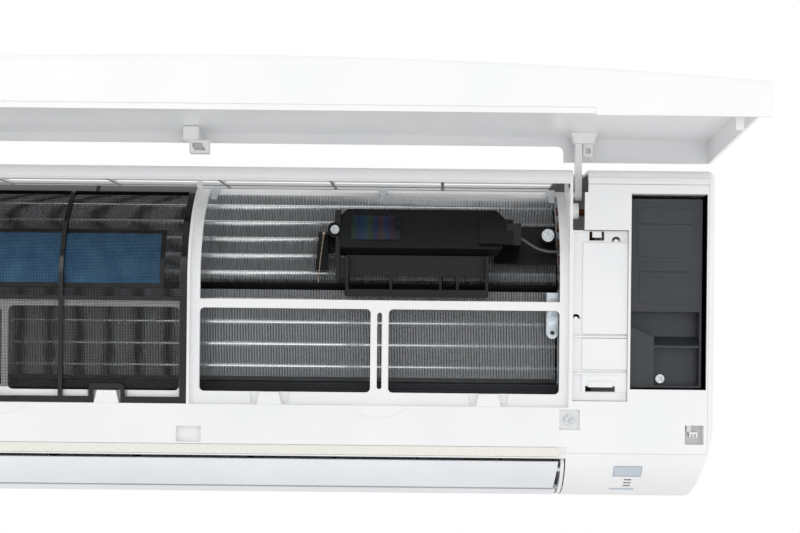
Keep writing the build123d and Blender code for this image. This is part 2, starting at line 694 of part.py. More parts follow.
with BuildPart() as drain_pan:
    pan_wall = 2.0
    pan_front = lower_face_y - 8
    pan_back = lower_face_y + pack_depth + 6
    pan_right = coil_right + end_plate + pan_wall + 1.5
    slab(frame_left, pan_right, pan_front, pan_back, pan_floor_z - pan_wall, lower_bottom - 4)
    slab(frame_left + pan_wall, pan_right - pan_wall, pan_front + pan_wall, pan_back - pan_wall, pan_floor_z,
         lower_bottom, mode=Mode.SUBTRACT)
    for ridge in (6.0, 8.6, 12.0):
        slab(frame_left, pan_right, pan_front - 0.8, pan_front, lower_bottom - ridge,
             lower_bottom - ridge + 1.0)
    spigot = (pan_front + 18, pan_floor_z + 7)
    spigot_radius = 6.5
    spigot_end = pan_right + 26
    rod(spigot, spigot_radius, pan_right - 1, spigot_end)
    rod(spigot, spigot_radius - 1.5, pan_right - 4, spigot_end + 1, mode=Mode.SUBTRACT)
drain_pan.part.label = "drain_pan"
export_step(drain_pan.part, "parts/drain_pan.step")

# ---------------------------------------------------------------- coil
with BuildPart() as fin_pack_lower:
    fin_pack(lower_outline)
fin_pack_lower.part.label = "fin_pack_lower"
export_step(fin_pack_lower.part, "parts/fin_pack_lower.step")

with BuildPart() as fin_pack_upper:
    fin_pack(upper_outline)
fin_pack_upper.part.label = "fin_pack_upper"
export_step(fin_pack_upper.part, "parts/fin_pack_upper.step")

with BuildPart() as fin_pack_rear:
    fin_pack(rear_outline)
fin_pack_rear.part.label = "fin_pack_rear"
export_step(fin_pack_rear.part, "parts/fin_pack_rear.step")

tube_end = 2.5              # tubes stand this far out of the end plates
bend_left_x = coil_left - end_plate - tube_end
bend_right_x = coil_right + end_plate + tube_end
pipe_tubes = [rear_rows[0][0], rear_rows[0][2]]

with BuildPart() as coil_tubes:
    for centre in all_tubes:
        with BuildSketch(Plane.YZ.offset(bend_left_x)):
            with Locations(centre):
                Circle(tube_radius)
                Circle(tube_radius - 0.6, mode=Mode.SUBTRACT)
        extrude(amount=bend_right_x - bend_left_x)
coil_tubes.part.label = "coil_tubes"
export_step(coil_tubes.part, "parts/coil_tubes.step")


def return_bend(first, second, x, outward):
    """A half ring of tube that joins two tube ends."""
    middle = ((first[0] + second[0]) / 2, (first[1] + second[1]) / 2)
    du = second[0] - first[0]
    dv = second[1] - first[1]
    with BuildSketch(Plane(origin=(x, first[0], first[1]), x_dir=(0, 1, 0), z_dir=(1, 0, 0))) as ring:
        Circle(tube_radius)
    axis = Axis((x, middle[0], middle[1]), (0, -dv * outward, du * outward))
    revolve(ring.sketch, axis=axis, revolution_arc=180)


with BuildPart() as return_bends:
    for first_row, second_row in all_rows:
        for first, second in zip(first_row, second_row):
            return_bend(first, second, bend_left_x, -1)
        for second, first in zip(second_row, first_row[1:]):
            if first not in pipe_tubes:
                return_bend(second, first, bend_right_x, 1)
return_bends.part.label = "return_bends"
export_step(return_bends.part, "parts/return_bends.step")


def coil_end(x0):
    """One galvanised end plate: the outline of the three packs, with a foot down in the drain pan."""
    foot = [(lower_face_y + 1, pan_floor_z + clear), (lower_face_y + pack_depth - 1, pan_floor_z + clear),
            (lower_face_y + pack_depth - 1, lower_bottom + 1), (lower_face_y + 1, lower_bottom + 1)]
    with BuildSketch(Plane.YZ.offset(x0)) as plate:
        for outline in (lower_outline, upper_outline, rear_outline):
            Polygon(*outline, align=None)
        Polygon(*foot, align=None)
        Polygon(lower_place(lower_length - 12, 4), notch_start, upper_place(12, pack_depth),
                upper_place(12, 4),
                align=None)
        Polygon(upper_place(upper_length - 4, 6), upper_place(upper_length - 4, pack_depth), rear_place(4, 0),
                rear_place(4, pack_depth - 6), align=None)
        with Locations(*all_tubes):
            Circle(tube_radius + run_fit, mode=Mode.SUBTRACT)
    extrude(plate.sketch, amount=end_plate)


with BuildPart() as coil_end_plate_left:
    coil_end(coil_left - end_plate)
coil_end_plate_left.part.label = "coil_end_plate_left"
export_step(coil_end_plate_left.part, "parts/coil_end_plate_left.step")

with BuildPart() as coil_end_plate_right:
    coil_end(coil_right)
coil_end_plate_right.part.label = "coil_end_plate_right"
export_step(coil_end_plate_right.part, "parts/coil_end_plate_right.step")

bracket_plate = 1.2
strap_y = lower_face_y - 15.0
strap_left = seats_right - 18.25
strap_right = seats_right - 7.75
strap_low = 2.9
strap_high = 38.0

with BuildPart() as coil_bracket:
    strap_middle = (strap_left + strap_right) / 2
    strap_round = (strap_right - strap_left) / 2
    with BuildSketch(Plane.XZ.offset(-strap_y)):
        with Locations((strap_middle, (strap_low + strap_high) / 2)):
            Rectangle(strap_right - strap_left, strap_high - strap_low)
        with Locations((strap_middle, strap_low)):
            Circle(strap_round)
            Circle(1.9, mode=Mode.SUBTRACT)
    extrude(amount=-bracket_plate)
    flange_x = coil_right + end_plate
    slab(strap_right - bracket_plate, strap_right, strap_y, lower_face_y - clear, strap_low, strap_high)
    slab(strap_right - bracket_plate, flange_x + bracket_plate, lower_face_y - clear - bracket_plate,
         lower_face_y - clear, 15.5, 24.5)
    slab(flange_x, flange_x + bracket_plate, lower_face_y - clear - bracket_plate, lower_face_y + 10, 15.5,
         24.5)
coil_bracket.part.label = "coil_bracket"
export_step(coil_bracket.part, "parts/coil_bracket.step")

# ---------------------------------------------------------------- refrigerant pipes
liquid_radius = 3.175
gas_radius = 4.76
pipe_wall = 0.8
pipe_bend = 12.0
liquid_drop_x = cheek_right + 36.0
gas_drop_x = cheek_right + 22.0
liquid_end_x = 110.0
gas_end_x = 90.0
pipe_back_y = -26.0
liquid_z = -112.0
gas_z = -124.0
liquid_start = pipe_tubes[0]
gas_start = pipe_tubes[1]
nut_back = 12.0             # bare pipe in front of a nut
nut_length = 16.0


def pipe(points, radius):
    """A bent copper pipe with even bends."""
    with BuildLine() as path:
        FilletPolyline(*points, radius=pipe_bend)
    with BuildSketch(Plane(origin=path.line @ 0, z_dir=path.line % 0)) as ring:
        Circle(radius)
        Circle(radius - pipe_wall, mode=Mode.SUBTRACT)
    sweep(ring.sketch, path=path.line)


def nut(end_x, centre, radius):
    """A flare nut pushed up on its pipe, a little back from the open end."""
    with BuildSketch(Plane.YZ.offset(end_x + nut_back)) as outline:
        with Locations(centre):
            RegularPolygon(radius * 2.1, 6)
            Circle(radius + run_fit, mode=Mode.SUBTRACT)
    extrude(outline.sketch, amount=nut_length)


with BuildPart() as liquid_pipe:
    pipe([(bend_right_x, *liquid_start), (liquid_drop_x, *liquid_start), (liquid_drop_x, pipe_back_y, 60),
          (liquid_drop_x, pipe_back_y, liquid_z), (liquid_end_x, pipe_back_y, liquid_z)], liquid_radius)
liquid_pipe.part.label = "liquid_pipe"
export_step(liquid_pipe.part, "parts/liquid_pipe.step")

with BuildPart() as gas_pipe:
    pipe([(bend_right_x, *gas_start), (gas_drop_x, *gas_start), (gas_drop_x, pipe_back_y, 50),
          (gas_drop_x, pipe_back_y, -60), (gas_drop_x, pipe_back_y - 18, gas_z),
          (gas_end_x, pipe_back_y - 18, gas_z)], gas_radius)
gas_pipe.part.label = "gas_pipe"
export_step(gas_pipe.part, "parts/gas_pipe.step")

with BuildPart() as flare_nuts:
    nut(liquid_end_x, (pipe_back_y, liquid_z), liquid_radius)
    nut(gas_end_x, (pipe_back_y - 18, gas_z), gas_radius)
flare_nuts.part.label = "flare_nuts"
export_step(flare_nuts.part, "parts/flare_nuts.step")

# ---------------------------------------------------------------- fan and its drive
fan_left = cheek_left + cheek + 5.0
fan_right = cheek_right - cheek - 5.0
disc = 2.0
blade_inner = 36.0
blade_outer = 46.5
blade_thickness = 1.2
hub_radius = 9.0
bearing_length = 7.0
motor_left = cheek_right + 5.0

with BuildPart() as fan_rotor:
    fan_segment = (fan_right - fan_left - disc) / fan_segments
    fan_plane = Plane(origin=(fan_left, fan_y, fan_z), x_dir=(0, 1, 0), z_dir=(1, 0, 0))
    blade_path = []
    for reach, lean in ((blade_inner, 0), ((blade_inner + blade_outer) / 2, 3), (blade_outer, 9)):
        blade_path.append((reach * math.cos(math.radians(lean)), reach * math.sin(math.radians(lean))))
    with BuildSketch(fan_plane):
        with PolarLocations(0, fan_blades):
            Polygon(*thick_path(blade_path, blade_thickness), align=None)
    extrude(amount=fan_right - fan_left)
    for k in range(fan_segments + 1):
        with BuildSketch(fan_plane.offset(k * fan_segment)):
            Circle(fan_radius)
            Circle(shaft_radius + run_fit if k in (0, fan_segments) else blade_inner - 2, mode=Mode.SUBTRACT)
        extrude(amount=disc)
    for hub_x in (fan_left, fan_right - 8):
        with BuildSketch(fan_plane.offset(hub_x - fan_left)):
            Circle(hub_radius)
            Circle(shaft_radius + run_fit, mode=Mode.SUBTRACT)
        extrude(amount=8)
fan_rotor.part.label = "fan_rotor"
export_step(fan_rotor.part, "parts/fan_rotor.step")

with BuildPart() as fan_shaft:
    rod((fan_y, fan_z), shaft_radius, cheek_left - 1, fan_left + 8)
    rod((fan_y, fan_z), shaft_radius, fan_right - 8, motor_left + 24)
fan_shaft.part.label = "fan_shaft"
export_step(fan_shaft.part, "parts/fan_shaft.step")

with BuildPart() as fan_bearing:
    rod((fan_y, fan_z), bearing_radius, cheek_left - 2, cheek_left - 2 + bearing_length)
    rod((fan_y, fan_z), shaft_radius + run_fit, cheek_left - 3, cheek_left + bearing_length,
        mode=Mode.SUBTRACT)
fan_bearing.part.label = "fan_bearing"
export_step(fan_bearing.part, "parts/fan_bearing.step")

with BuildPart() as fan_motor:
    rod((fan_y, fan_z), motor_radius, motor_left, motor_left + motor_length)
    rod((fan_y, fan_z), bearing_radius, motor_left - 4, motor_left)
    rod((fan_y, fan_z), shaft_radius + run_fit, motor_left - 5, motor_left + 26, mode=Mode.SUBTRACT)
fan_motor.part.label = "fan_motor"
export_step(fan_motor.part, "parts/fan_motor.step")

with BuildPart() as motor_bracket:
    strap_x = motor_left + 1.0
    strap_width = 8.0
    strap_plate = 2.7
    rod((fan_y, fan_z), motor_radius + clear + strap_plate, strap_x, strap_x + strap_width)
    slab(strap_x, strap_x + strap_width, fan_y + motor_radius - 4, back_y - clear, fan_z - 15, fan_z + 15)
    slab(strap_x, strap_x + strap_width, back_y - clear - 3, back_y - clear, fan_z - 30, fan_z + 30)
    rod((fan_y, fan_z), motor_radius + clear, strap_x - 1, strap_x + strap_width + 1, mode=Mode.SUBTRACT)
motor_bracket.part.label = "motor_bracket"
export_step(motor_bracket.part, "parts/motor_bracket.step")

# ================================================================ electrical end
box_left = elec_left - 2.0
box_right = half_w - wall - clear
box_low = elec_low - 3.7
box_high = elec_high + 3.7
box_front = front_y + 13.3
box_back = -128.0
box_wall = 2.0
cover_y = front_y + 11.0
cover_back = cover_y + 18.0
cover_seat = cover_y + 12.0          # under the head of the cover's screw
cover_left = elec_left + clear
cover_right = elec_right - cover_end_gap
cover_low = elec_low + 1.3
cover_high = elec_high - 3.5
pocket_top = 22.2           # upper and lower pocket in the cover
ledge_high = 0.5
ledge_low = -7.7
lower_pocket_high = -9.2
divider_x = elec_left + 22.0
cover_screw = (elec_left + 29.0, elec_low + 8.9)
screw_head = 3.9
large_head = 4.7
washer = 5.6
screw_head_height = 2.6
screw_shank = 2.0
screw_hole = 2.2

with BuildPart() as electrical_box:
    slab(box_left, box_right, box_front, box_back, box_low, box_high)
    slab(box_left + box_wall, box_right - box_wall, box_front - 1, box_back - box_wall, box_low + box_wall,
         box_high - box_wall, mode=Mode.SUBTRACT)
    with BuildSketch(Plane.XZ.offset(-box_back + box_wall)):
        with Locations(cover_screw):
            Circle(4.2)
            Circle(screw_hole, mode=Mode.SUBTRACT)
    extrude(amount=box_back - box_wall - cover_seat - box_wall - clear)
electrical_box.part.label = "electrical_box"
export_step(electrical_box.part, "parts/electrical_box.step")

with BuildPart() as electrical_cover:
    edge = box_wall
    slab(cover_left, cover_right, cover_y, cover_y + edge, pocket_top, cover_high)
    slab(cover_left, cover_right, cover_y, cover_back, cover_low, pocket_top + edge)
    # slanted ledge between the two pockets
    front_prism([(cover_left + edge, ledge_high + 8.2), (divider_x, ledge_high),
                 (cover_right - edge, ledge_high),
                 (cover_right - edge, pocket_top), (cover_left + edge, pocket_top)], cover_back - edge,
                cover_y - 1, mode=Mode.SUBTRACT)
    side_prism([(cover_y - 1, ledge_low), (cover_y - 1, ledge_high + 0.5),
                (cover_back - edge, ledge_high + 0.5)],
               divider_x, cover_right - edge, mode=Mode.SUBTRACT)
    slab(divider_x, cover_right - edge, cover_y - 1, cover_seat, cover_low + edge, lower_pocket_high,
         mode=Mode.SUBTRACT)
    # hollow from behind
    front_prism([(cover_left + edge, cover_low + edge), (divider_x - edge, cover_low + edge),
                 (divider_x - edge, ledge_high - edge), (cover_left + edge, ledge_high + 6)],
                cover_back + 1, cover_y + edge, mode=Mode.SUBTRACT)
    slab(divider_x, cover_right - edge, cover_seat + edge, cover_back + 1, cover_low + edge,
         lower_pocket_high,
         mode=Mode.SUBTRACT)
    # two raised label panels, left bare, each with a groove under its header
    for low, high, left, right, groove in ((70.1, 113.0, 334.1, 382.3, 98.9),
                                           (29.2, 65.7, 336.1, 380.8, 57.2)):
        with BuildSketch(Plane.XZ.offset(-cover_y)):
            with Locations(((left + right) / 2 + half_w - 400, (low + high) / 2)):
                RectangleRounded(right - left, high - low, 3.5)
            with Locations(((left + right) / 2 + half_w - 400, groove)):
                Rectangle(right - left - 1.2, 0.6, mode=Mode.SUBTRACT)
        extrude(amount=0.4)
    with BuildSketch(Plane.XZ.offset(-cover_back)):
        with Locations(cover_screw):
            Circle(screw_hole)
    extrude(amount=cover_back - cover_seat + 1, mode=Mode.SUBTRACT)
electrical_cover.part.label = "electrical_cover"
export_step(electrical_cover.part, "parts/electrical_cover.step")

with BuildPart() as control_board:
    board_y = -150.0
    board_left = box_left + 5
    board_right = box_right - 11
    board_low = 28.0
    board_high = 116.0
    slab(board_left, board_right, board_y, board_y + 1.6, board_low, board_high)
    for x in (board_left + 5, board_right - 5):
        for z in (board_low + 5, board_high - 5):
            with BuildSketch(Plane.XZ.offset(-board_y - 1.6)):
                with Locations((x, z)):
                    Circle(2.5)
            extrude(amount=board_y + 1.6 - box_back + box_wall)
    with BuildSketch(Plane.XZ.offset(-board_y)):
        with Locations((board_left + 12, board_high - 18), (board_left + 12, board_high - 36)):
            Circle(6)
    extrude(amount=20)
    for x, z, wide, high, deep in ((34, 72, 18, 24, 16), (34, 44, 22, 16, 12), (14, 48, 14, 10, 14)):
        slab(board_left + x, board_left + x + wide, board_y - deep, board_y, z - high / 2, z + high / 2)
control_board.part.label = "control_board"
export_step(control_board.part, "parts/control_board.step")

with BuildPart() as terminal_block:
    slab(box_left + 7, box_right - 13, board_y, box_back - box_wall, -28, -4)
    for k in range(4):
        terminal_x = box_left + 14 + k * 12.5
        slab(terminal_x, terminal_x + 8, board_y - 1, board_y + 6, -22, -10, mode=Mode.SUBTRACT)
terminal_block.part.label = "terminal_block"
export_step(terminal_block.part, "parts/terminal_block.step")

with BuildPart() as service_cover:
    floor_y = front_y + service_depth - clear
    step_x = service_left + 9.5
    base = 1.7
    slab(service_left + 1 + clear, service_right - clear, floor_y - base, floor_y, service_low + clear,
         slot_low - clear)
    slab(step_x, service_right - clear, floor_y - base - 2, floor_y - base, ledge_low + 10, hook_hole[2] - 2)
    slab(step_x, service_right - clear, floor_y - base - 2, floor_y - base, -28.5, -1.5)
    slab(step_x, service_right - clear, floor_y - base - 2, floor_y - base, service_low + 8, -33)
    for ridge in (0.6, -31.4):
        slab(service_left + 1 + clear, service_right - clear, floor_y - base - 3.5, floor_y - base,
             ridge - 1.6,
             ridge)
    slab(service_left + 1 + clear, step_x, floor_y - base - 3.5, floor_y - base, slot_low - clear - 1.6,
         slot_low - clear)
    slab(hook_hole[0], hook_hole[1], floor_y - 6, floor_y + 1, hook_hole[2], hook_hole[3], mode=Mode.SUBTRACT)
    slab(hook_hole[0] + 2.5, hook_hole[1] - 2.5, floor_y - base - 1, floor_y, hook_hole[2] + 2.6,
         hook_hole[3])
    with BuildSketch(Plane.XZ.offset(-floor_y - 1)):
        for ring_x, ring_z in service_rings:
            with Locations((ring_x, ring_z)):
                Circle(ring_outer)
                Circle(ring_inner, mode=Mode.SUBTRACT)
            with Locations((ring_x, ring_z - ring_outer / 2 - 0.5)):
                Rectangle(2 * ring_outer, ring_outer + 1, mode=Mode.SUBTRACT)
    extrude(amount=6, mode=Mode.SUBTRACT)
    slab(slot_hole[0], slot_hole[1], floor_y - 6, floor_y + 1, slot_hole[2], slot_hole[3], mode=Mode.SUBTRACT)
    front_prism([(slot_hole[0] + 2.4, slot_hole[3] - 1), (slot_hole[1] - 2.4, slot_hole[3] - 1),
                 (slot_hole[1] - 2.4, slot_hole[3] + 4), (slot_hole[0] + 2.4, slot_hole[3] + 4)],
                floor_y - base,
                floor_y - base - 3)
service_cover.part.label = "service_cover"
export_step(service_cover.part, "parts/service_cover.step")

# ---------------------------------------------------------------- display
lens_skin = 1.5

with BuildPart() as display_window:
    front_prism(slanted(display_left, display_width, display_low, display_high, display_slant, -clear), -140,
                front_y - 1)
    casing_block(0, split_depth, mode=Mode.INTERSECT)
    casing_block(lens_skin, split_depth, mode=Mode.SUBTRACT)
display_window.part.label = "display_window"
export_step(display_window.part, "parts/display_window.step")

with BuildPart() as indicator_lenses:
    lens_gap = 0.1
    for row in bar_rows:
        front_prism(slanted(bar_left, bar_width, row - bar_height / 2, row + bar_height / 2,
                            bar_slant, -lens_gap), -140, front_y - 1)
    casing_block(0, split_depth, mode=Mode.INTERSECT)
    casing_block(lens_skin, split_depth, mode=Mode.SUBTRACT)
indicator_lenses.part.label = "indicator_lenses"
export_step(indicator_lenses.part, "parts/indicator_lenses.step")

board_top = (-sweep_back - 0.8415 * sweep_depth, -111.0)
board_end = (-sweep_back - 0.5366 * sweep_depth, -130.0)
board_run = math.hypot(board_end[0] - board_top[0], board_end[1] - board_top[1])
board_along = ((board_end[0] - board_top[0]) / board_run, (board_end[1] - board_top[1]) / board_run)
board_out = (board_along[1], -board_along[0])
display_board_thickness = 1.6

with BuildPart() as display_board:
    side_prism(thick_path([board_top, board_end], display_board_thickness), display_left - 12,
               display_left + 32)
    for x in (display_left - 9, display_left + 29):
        for along, reach in ((7.5, 7.6), (24.0, 6.6)):
            foot = (board_top[0] + board_along[0] * along, board_top[1] + board_along[1] * along)
            with BuildSketch(Plane(origin=(x, foot[0], foot[1]), x_dir=(1, 0, 0),
                                   z_dir=(0, board_out[0], board_out[1]))):
                Circle(2)
            extrude(amount=reach)
display_board.part.label = "display_board"
export_step(display_board.part, "parts/display_board.step")

with BuildPart() as emergency_button:
    button_depth = 3.2
    button_flange = 1.2
    button_bar(button_height, button_width, button_depth, 0.6)
    button_bar(button_height + 3, button_width + 3, button_depth + button_flange, -button_depth)
emergency_button.part.label = "emergency_button"
export_step(emergency_button.part, "parts/emergency_button.step")

# ================================================================ air outlet
vane_left = cheek_left + cheek + vane_gap
vane_right = cheek_right - cheek - vane_gap
tab_radius = 3.6
tab_width = 2.5


def vane_strip(angle0, angle1, x0, x1, inset0=0.0, inset1=vane_skin, mode=Mode.ADD):
    """A piece of the lower front's curved skin, between two ellipse angles."""
    with BuildSketch(Plane.YZ.offset(x0)) as outline:
        with BuildLine():
            outer = EllipticalCenterArc((-sweep_back, lip_z), body_depth - inset0 - sweep_back,
                                        half_h - inset0 + lip_z, start_angle=180 + angle0,
                                        arc_size=angle1 - angle0)
            inner = EllipticalCenterArc((-sweep_back, lip_z), body_depth - inset1 - sweep_back,
                                        half_h - inset1 + lip_z, start_angle=180 + angle0,
                                        arc_size=angle1 - angle0)
            Line(outer @ 1, inner @ 1)
            Line(inner @ 0, outer @ 0)
        make_face()
    extrude(outline.sketch, amount=x1 - x0, mode=mode)


def vane(angle0, angle1, pin):
    """A vane: curved skin, a tab at each end and the two pins that it turns on."""
    vane_strip(angle0, angle1, vane_left, vane_right)
    middle = (angle0 + angle1) / 2
    for x0 in (vane_left, vane_right - tab_width):
        with BuildSketch(Plane.YZ.offset(x0)) as tab:
            Polygon(sweep_point(middle - 12, 1), sweep_point(middle + 12, 1), (pin[0] + 2.5, pin[1] - 2.5),
                    (pin[0] - 2.5, pin[1] + 2.5), align=None)
            with Locations(pin):
                Circle(tab_radius)
        extrude(tab.sketch, amount=tab_width)
    rod(pin, pin_radius, cheek_left + clear, vane_left)
    rod(pin, pin_radius, vane_right, cheek_right - clear)
    casing_block(0, 0, mode=Mode.INTERSECT)


with BuildPart() as vane_upper:
    vane(11.5, 50, upper_pin)
    front_prism([(vane_right, outlet_top), (vane_right + 1, outlet_top), (vane_right + 1, -half_h),
                 (vane_right - 4, -half_h)], sweep_point(50)[0] + 5, front_y - 1, mode=Mode.SUBTRACT)
    rod(upper_pin, pin_radius, vane_right - tab_width, cheek_right - clear)
vane_upper.part.label = "vane_upper"
export_step(vane_upper.part, "parts/vane_upper.step")

with BuildPart() as vane_lower:
    vane(53.5, 88, lower_pin)
vane_lower.part.label = "vane_lower"
export_step(vane_lower.part, "parts/vane_lower.step")

with BuildPart() as vane_motors:
    for centre in ((upper_pin[0] + 13, upper_pin[1] + 15), (lower_pin[0] + 7, lower_pin[1] + 12)):
        rod(centre, 12, cheek_right + clear, cheek_right + clear + 16)
vane_motors.part.label = "vane_motors"
export_step(vane_motors.part, "parts/vane_motors.step")

louvre_reach = 16.0         # half the length of a blade along the flow
louvre_depth = 38.0
louvre_thickness = 1.6
link_arm = 12.0             # pivot to link pin
link_pin = 1.2
link_bar = 2.0
link_low = louvre_depth + 1.0

for group_name, xs in zip(("left", "right"), louvre_x):
    for number, x in enumerate(xs, 1):
        blade_plane = Plane(origin=(x, louvre_root[0], louvre_root[1]), x_dir=(0, flow[0], flow[1]),
                            z_dir=(1, 0, 0))
        pin_plane = Plane(origin=(x, louvre_root[0], louvre_root[1]), x_dir=(1, 0, 0),
                          z_dir=(0, into_duct[0], into_duct[1]))
        link_point = Plane(origin=(x, louvre_root[0] - flow[0] * link_arm,
                                   louvre_root[1] - flow[1] * link_arm),
                           x_dir=(1, 0, 0), z_dir=(0, into_duct[0], into_duct[1]))
        with BuildPart() as louvre:
            with BuildSketch(blade_plane.offset(-louvre_thickness / 2)):
                with Locations((0, (1 + louvre_depth) / 2)):
                    RectangleRounded(2 * louvre_reach, louvre_depth - 1, 5)
            extrude(amount=louvre_thickness)
            with BuildSketch(pin_plane.offset(-2.2)):
                Circle(pin_radius)
            extrude(amount=2.2 + 4)
            with BuildSketch(link_point.offset(louvre_depth - 3)):
                Circle(link_pin)
            extrude(amount=3 + 4)
        name = f"louvre_{group_name}_{number}"
        louvre.part.label = name
        export_step(louvre.part, f"parts/{name}.step")
    with BuildPart() as louvre_link:
        link_plane = Plane(origin=(0, louvre_root[0], louvre_root[1]), x_dir=(0, flow[0], flow[1]),
                           z_dir=(1, 0, 0))
        with BuildSketch(link_plane.offset(xs[0] - 6)):
            with Locations((-link_arm, link_low + link_bar / 2)):
                Rectangle(8, link_bar)
        extrude(amount=xs[-1] - xs[0] + 12)
        for x in xs:
            slot_plane = Plane(origin=(x, louvre_root[0] - flow[0] * link_arm,
                                       louvre_root[1] - flow[1] * link_arm),
                               x_dir=(1, 0, 0), z_dir=(0, into_duct[0], into_duct[1]))
            with BuildSketch(slot_plane.offset(link_low - 1)):
                Rectangle(2 * link_pin + 0.7, 5)
            extrude(amount=link_bar + 2, mode=Mode.SUBTRACT)
    louvre_link.part.label = f"louvre_link_{group_name}"
    export_step(louvre_link.part, f"parts/louvre_link_{group_name}.step")

# ================================================================ small pieces on the front
left_screw = (bay_centres[1] - 42.3, 93.4)      # purifier screws, (x, z)
right_screw = (seats_right - 15.85, 90.2)
bracket_y = -152.0                              # front face of the purifier bracket's ears


def screw(centre, head_back, shank_end, radius=screw_head):
    """A pan head screw along Y with a cross recess."""
    with BuildSketch(Plane.XZ.offset(-head_back)) as head:
        with Locations(centre):
            Circle(radius)
    extrude(head.sketch, amount=screw_head_height)
    with BuildSketch(Plane.XZ.offset(-shank_end)) as shank:
        with Locations(centre):
            Circle(screw_shank)
    extrude(shank.sketch, amount=shank_end - head_back)
    with BuildSketch(Plane.XZ.offset(-head_back + 1.2)) as cross:
        with Locations(centre):
            Rectangle(1.15 * radius, 1.0, rotation=45)
            Rectangle(1.15 * radius, 1.0, rotation=-45)
    extrude(cross.sketch, amount=3, mode=Mode.SUBTRACT)


with BuildPart() as screws:
    screw((pocket_x, pocket_z), front_y + pocket_depth, front_y + pocket_depth + 10, large_head)
    screw(cover_screw, cover_seat, cover_seat + 12)
    screw(left_screw, bracket_y, bracket_y + 6)
    screw(right_screw, bracket_y, bracket_y + 6)
    with BuildSketch(Plane.XZ.offset(-bracket_y)):
        with Locations(right_screw):
            Circle(washer)
    extrude(amount=0.8)
screws.part.label = "screws"
export_step(screws.part, "parts/screws.step")

with BuildPart() as filter_clips:
    rail_outer = bend_radius - seat_depth + clear
    for offset_x in (13.25 - seat_width / 2, 0, seat_width / 2 - 13.25):
        clip_x = bay_centres[1] + offset_x
        bend_strip(rail_outer + 2, rail_outer, 57, 65, clip_x - 4, clip_x + 4)
        bend_strip(rail_outer + 2, rail_outer, 52, 57, clip_x - 2.5, clip_x + 2.5)
filter_clips.part.label = "filter_clips"
export_step(filter_clips.part, "parts/filter_clips.step")

with BuildPart() as panel_catch:
    catch_y = front_y + wall + clear
    slab(latch_x0 - 2.5, latch_x1 + 2.5, catch_y, catch_y + 12, latch_z0 - 2.5, latch_z1 + 2.5)
    slab(latch_x0, latch_x1, catch_y - 1, catch_y + 10, latch_z0, latch_z1, mode=Mode.SUBTRACT)
    tooth = 1.7
    teeth_left = latch_x0 + 4.6
    teeth_high = latch_z1 - 6.0
    slab(teeth_left, teeth_left + 7.2, catch_y + 1.5, catch_y + 11, teeth_high - 1.8, teeth_high)
    for k in range(3):
        tooth_x = teeth_left + k * 2.75
        slab(tooth_x, tooth_x + tooth, catch_y + 1.5, catch_y + 11, teeth_high - 4.4, teeth_high - 1)
    slab(latch_x0 + 2.5, latch_x0 + 6.5, catch_y + 4, catch_y + 11, teeth_high, latch_z1)
panel_catch.part.label = "panel_catch"
export_step(panel_catch.part, "parts/panel_catch.step")

# ---------------------------------------------------------------- air purifier in front of the coil
purifier_left = bay_centres[1] - 36.2
purifier_right = bay_centres[1] + 110.0
purifier_low_front = (-178.0, 76.0)
purifier_high_front = (-159.0, 111.5)
purifier_outline = [purifier_low_front, purifier_high_front, (-145.0, 106.0), (-164.0, 70.0)]
face_run = math.hypot(purifier_high_front[0] - purifier_low_front[0],
                      purifier_high_front[1] - purifier_low_front[1])
face_along = ((purifier_high_front[0] - purifier_low_front[0]) / face_run,
              (purifier_high_front[1] - purifier_low_front[1]) / face_run)


def face_plate(start, end, lift, thickness, x0, x1):
    """A plate on the slanted front of the purifier, between two distances up it."""
    out = (-face_along[1], face_along[0])
    corners = []
    for along, away in ((start, lift), (end, lift), (end, lift + thickness), (start, lift + thickness)):
        corners.append((purifier_low_front[0] + face_along[0] * along + out[0] * away,
                        purifier_low_front[1] + face_along[1] * along + out[1] * away))
    side_prism(corners, x0, x1)


with BuildPart() as purifier_housing:
    side_prism(purifier_outline, purifier_left, purifier_right)
    front_prism([(purifier_left, 69), (purifier_left, 106), (purifier_left + 6, 112),
                 (purifier_right - 9, 112),
                 (purifier_right, 103), (purifier_right, 84), (purifier_right - 8, 69)], -140, -180,
                mode=Mode.INTERSECT)
purifier_housing.part.label = "purifier_housing"
export_step(purifier_housing.part, "parts/purifier_housing.step")

with BuildPart() as purifier_film:
    face_plate(8.0, 33.0, 0.0, 0.8, purifier_left + 9.2, purifier_left + 52.5)
purifier_film.part.label = "purifier_film"
export_step(purifier_film.part, "parts/purifier_film.step")


def coil_front(away, z):
    """A point (y, z) at a distance in front of the upper fin pack, at the height z."""
    along = (z - upper_start[1] - away * tilt_sin) / tilt_cos
    return upper_place(along, -away)


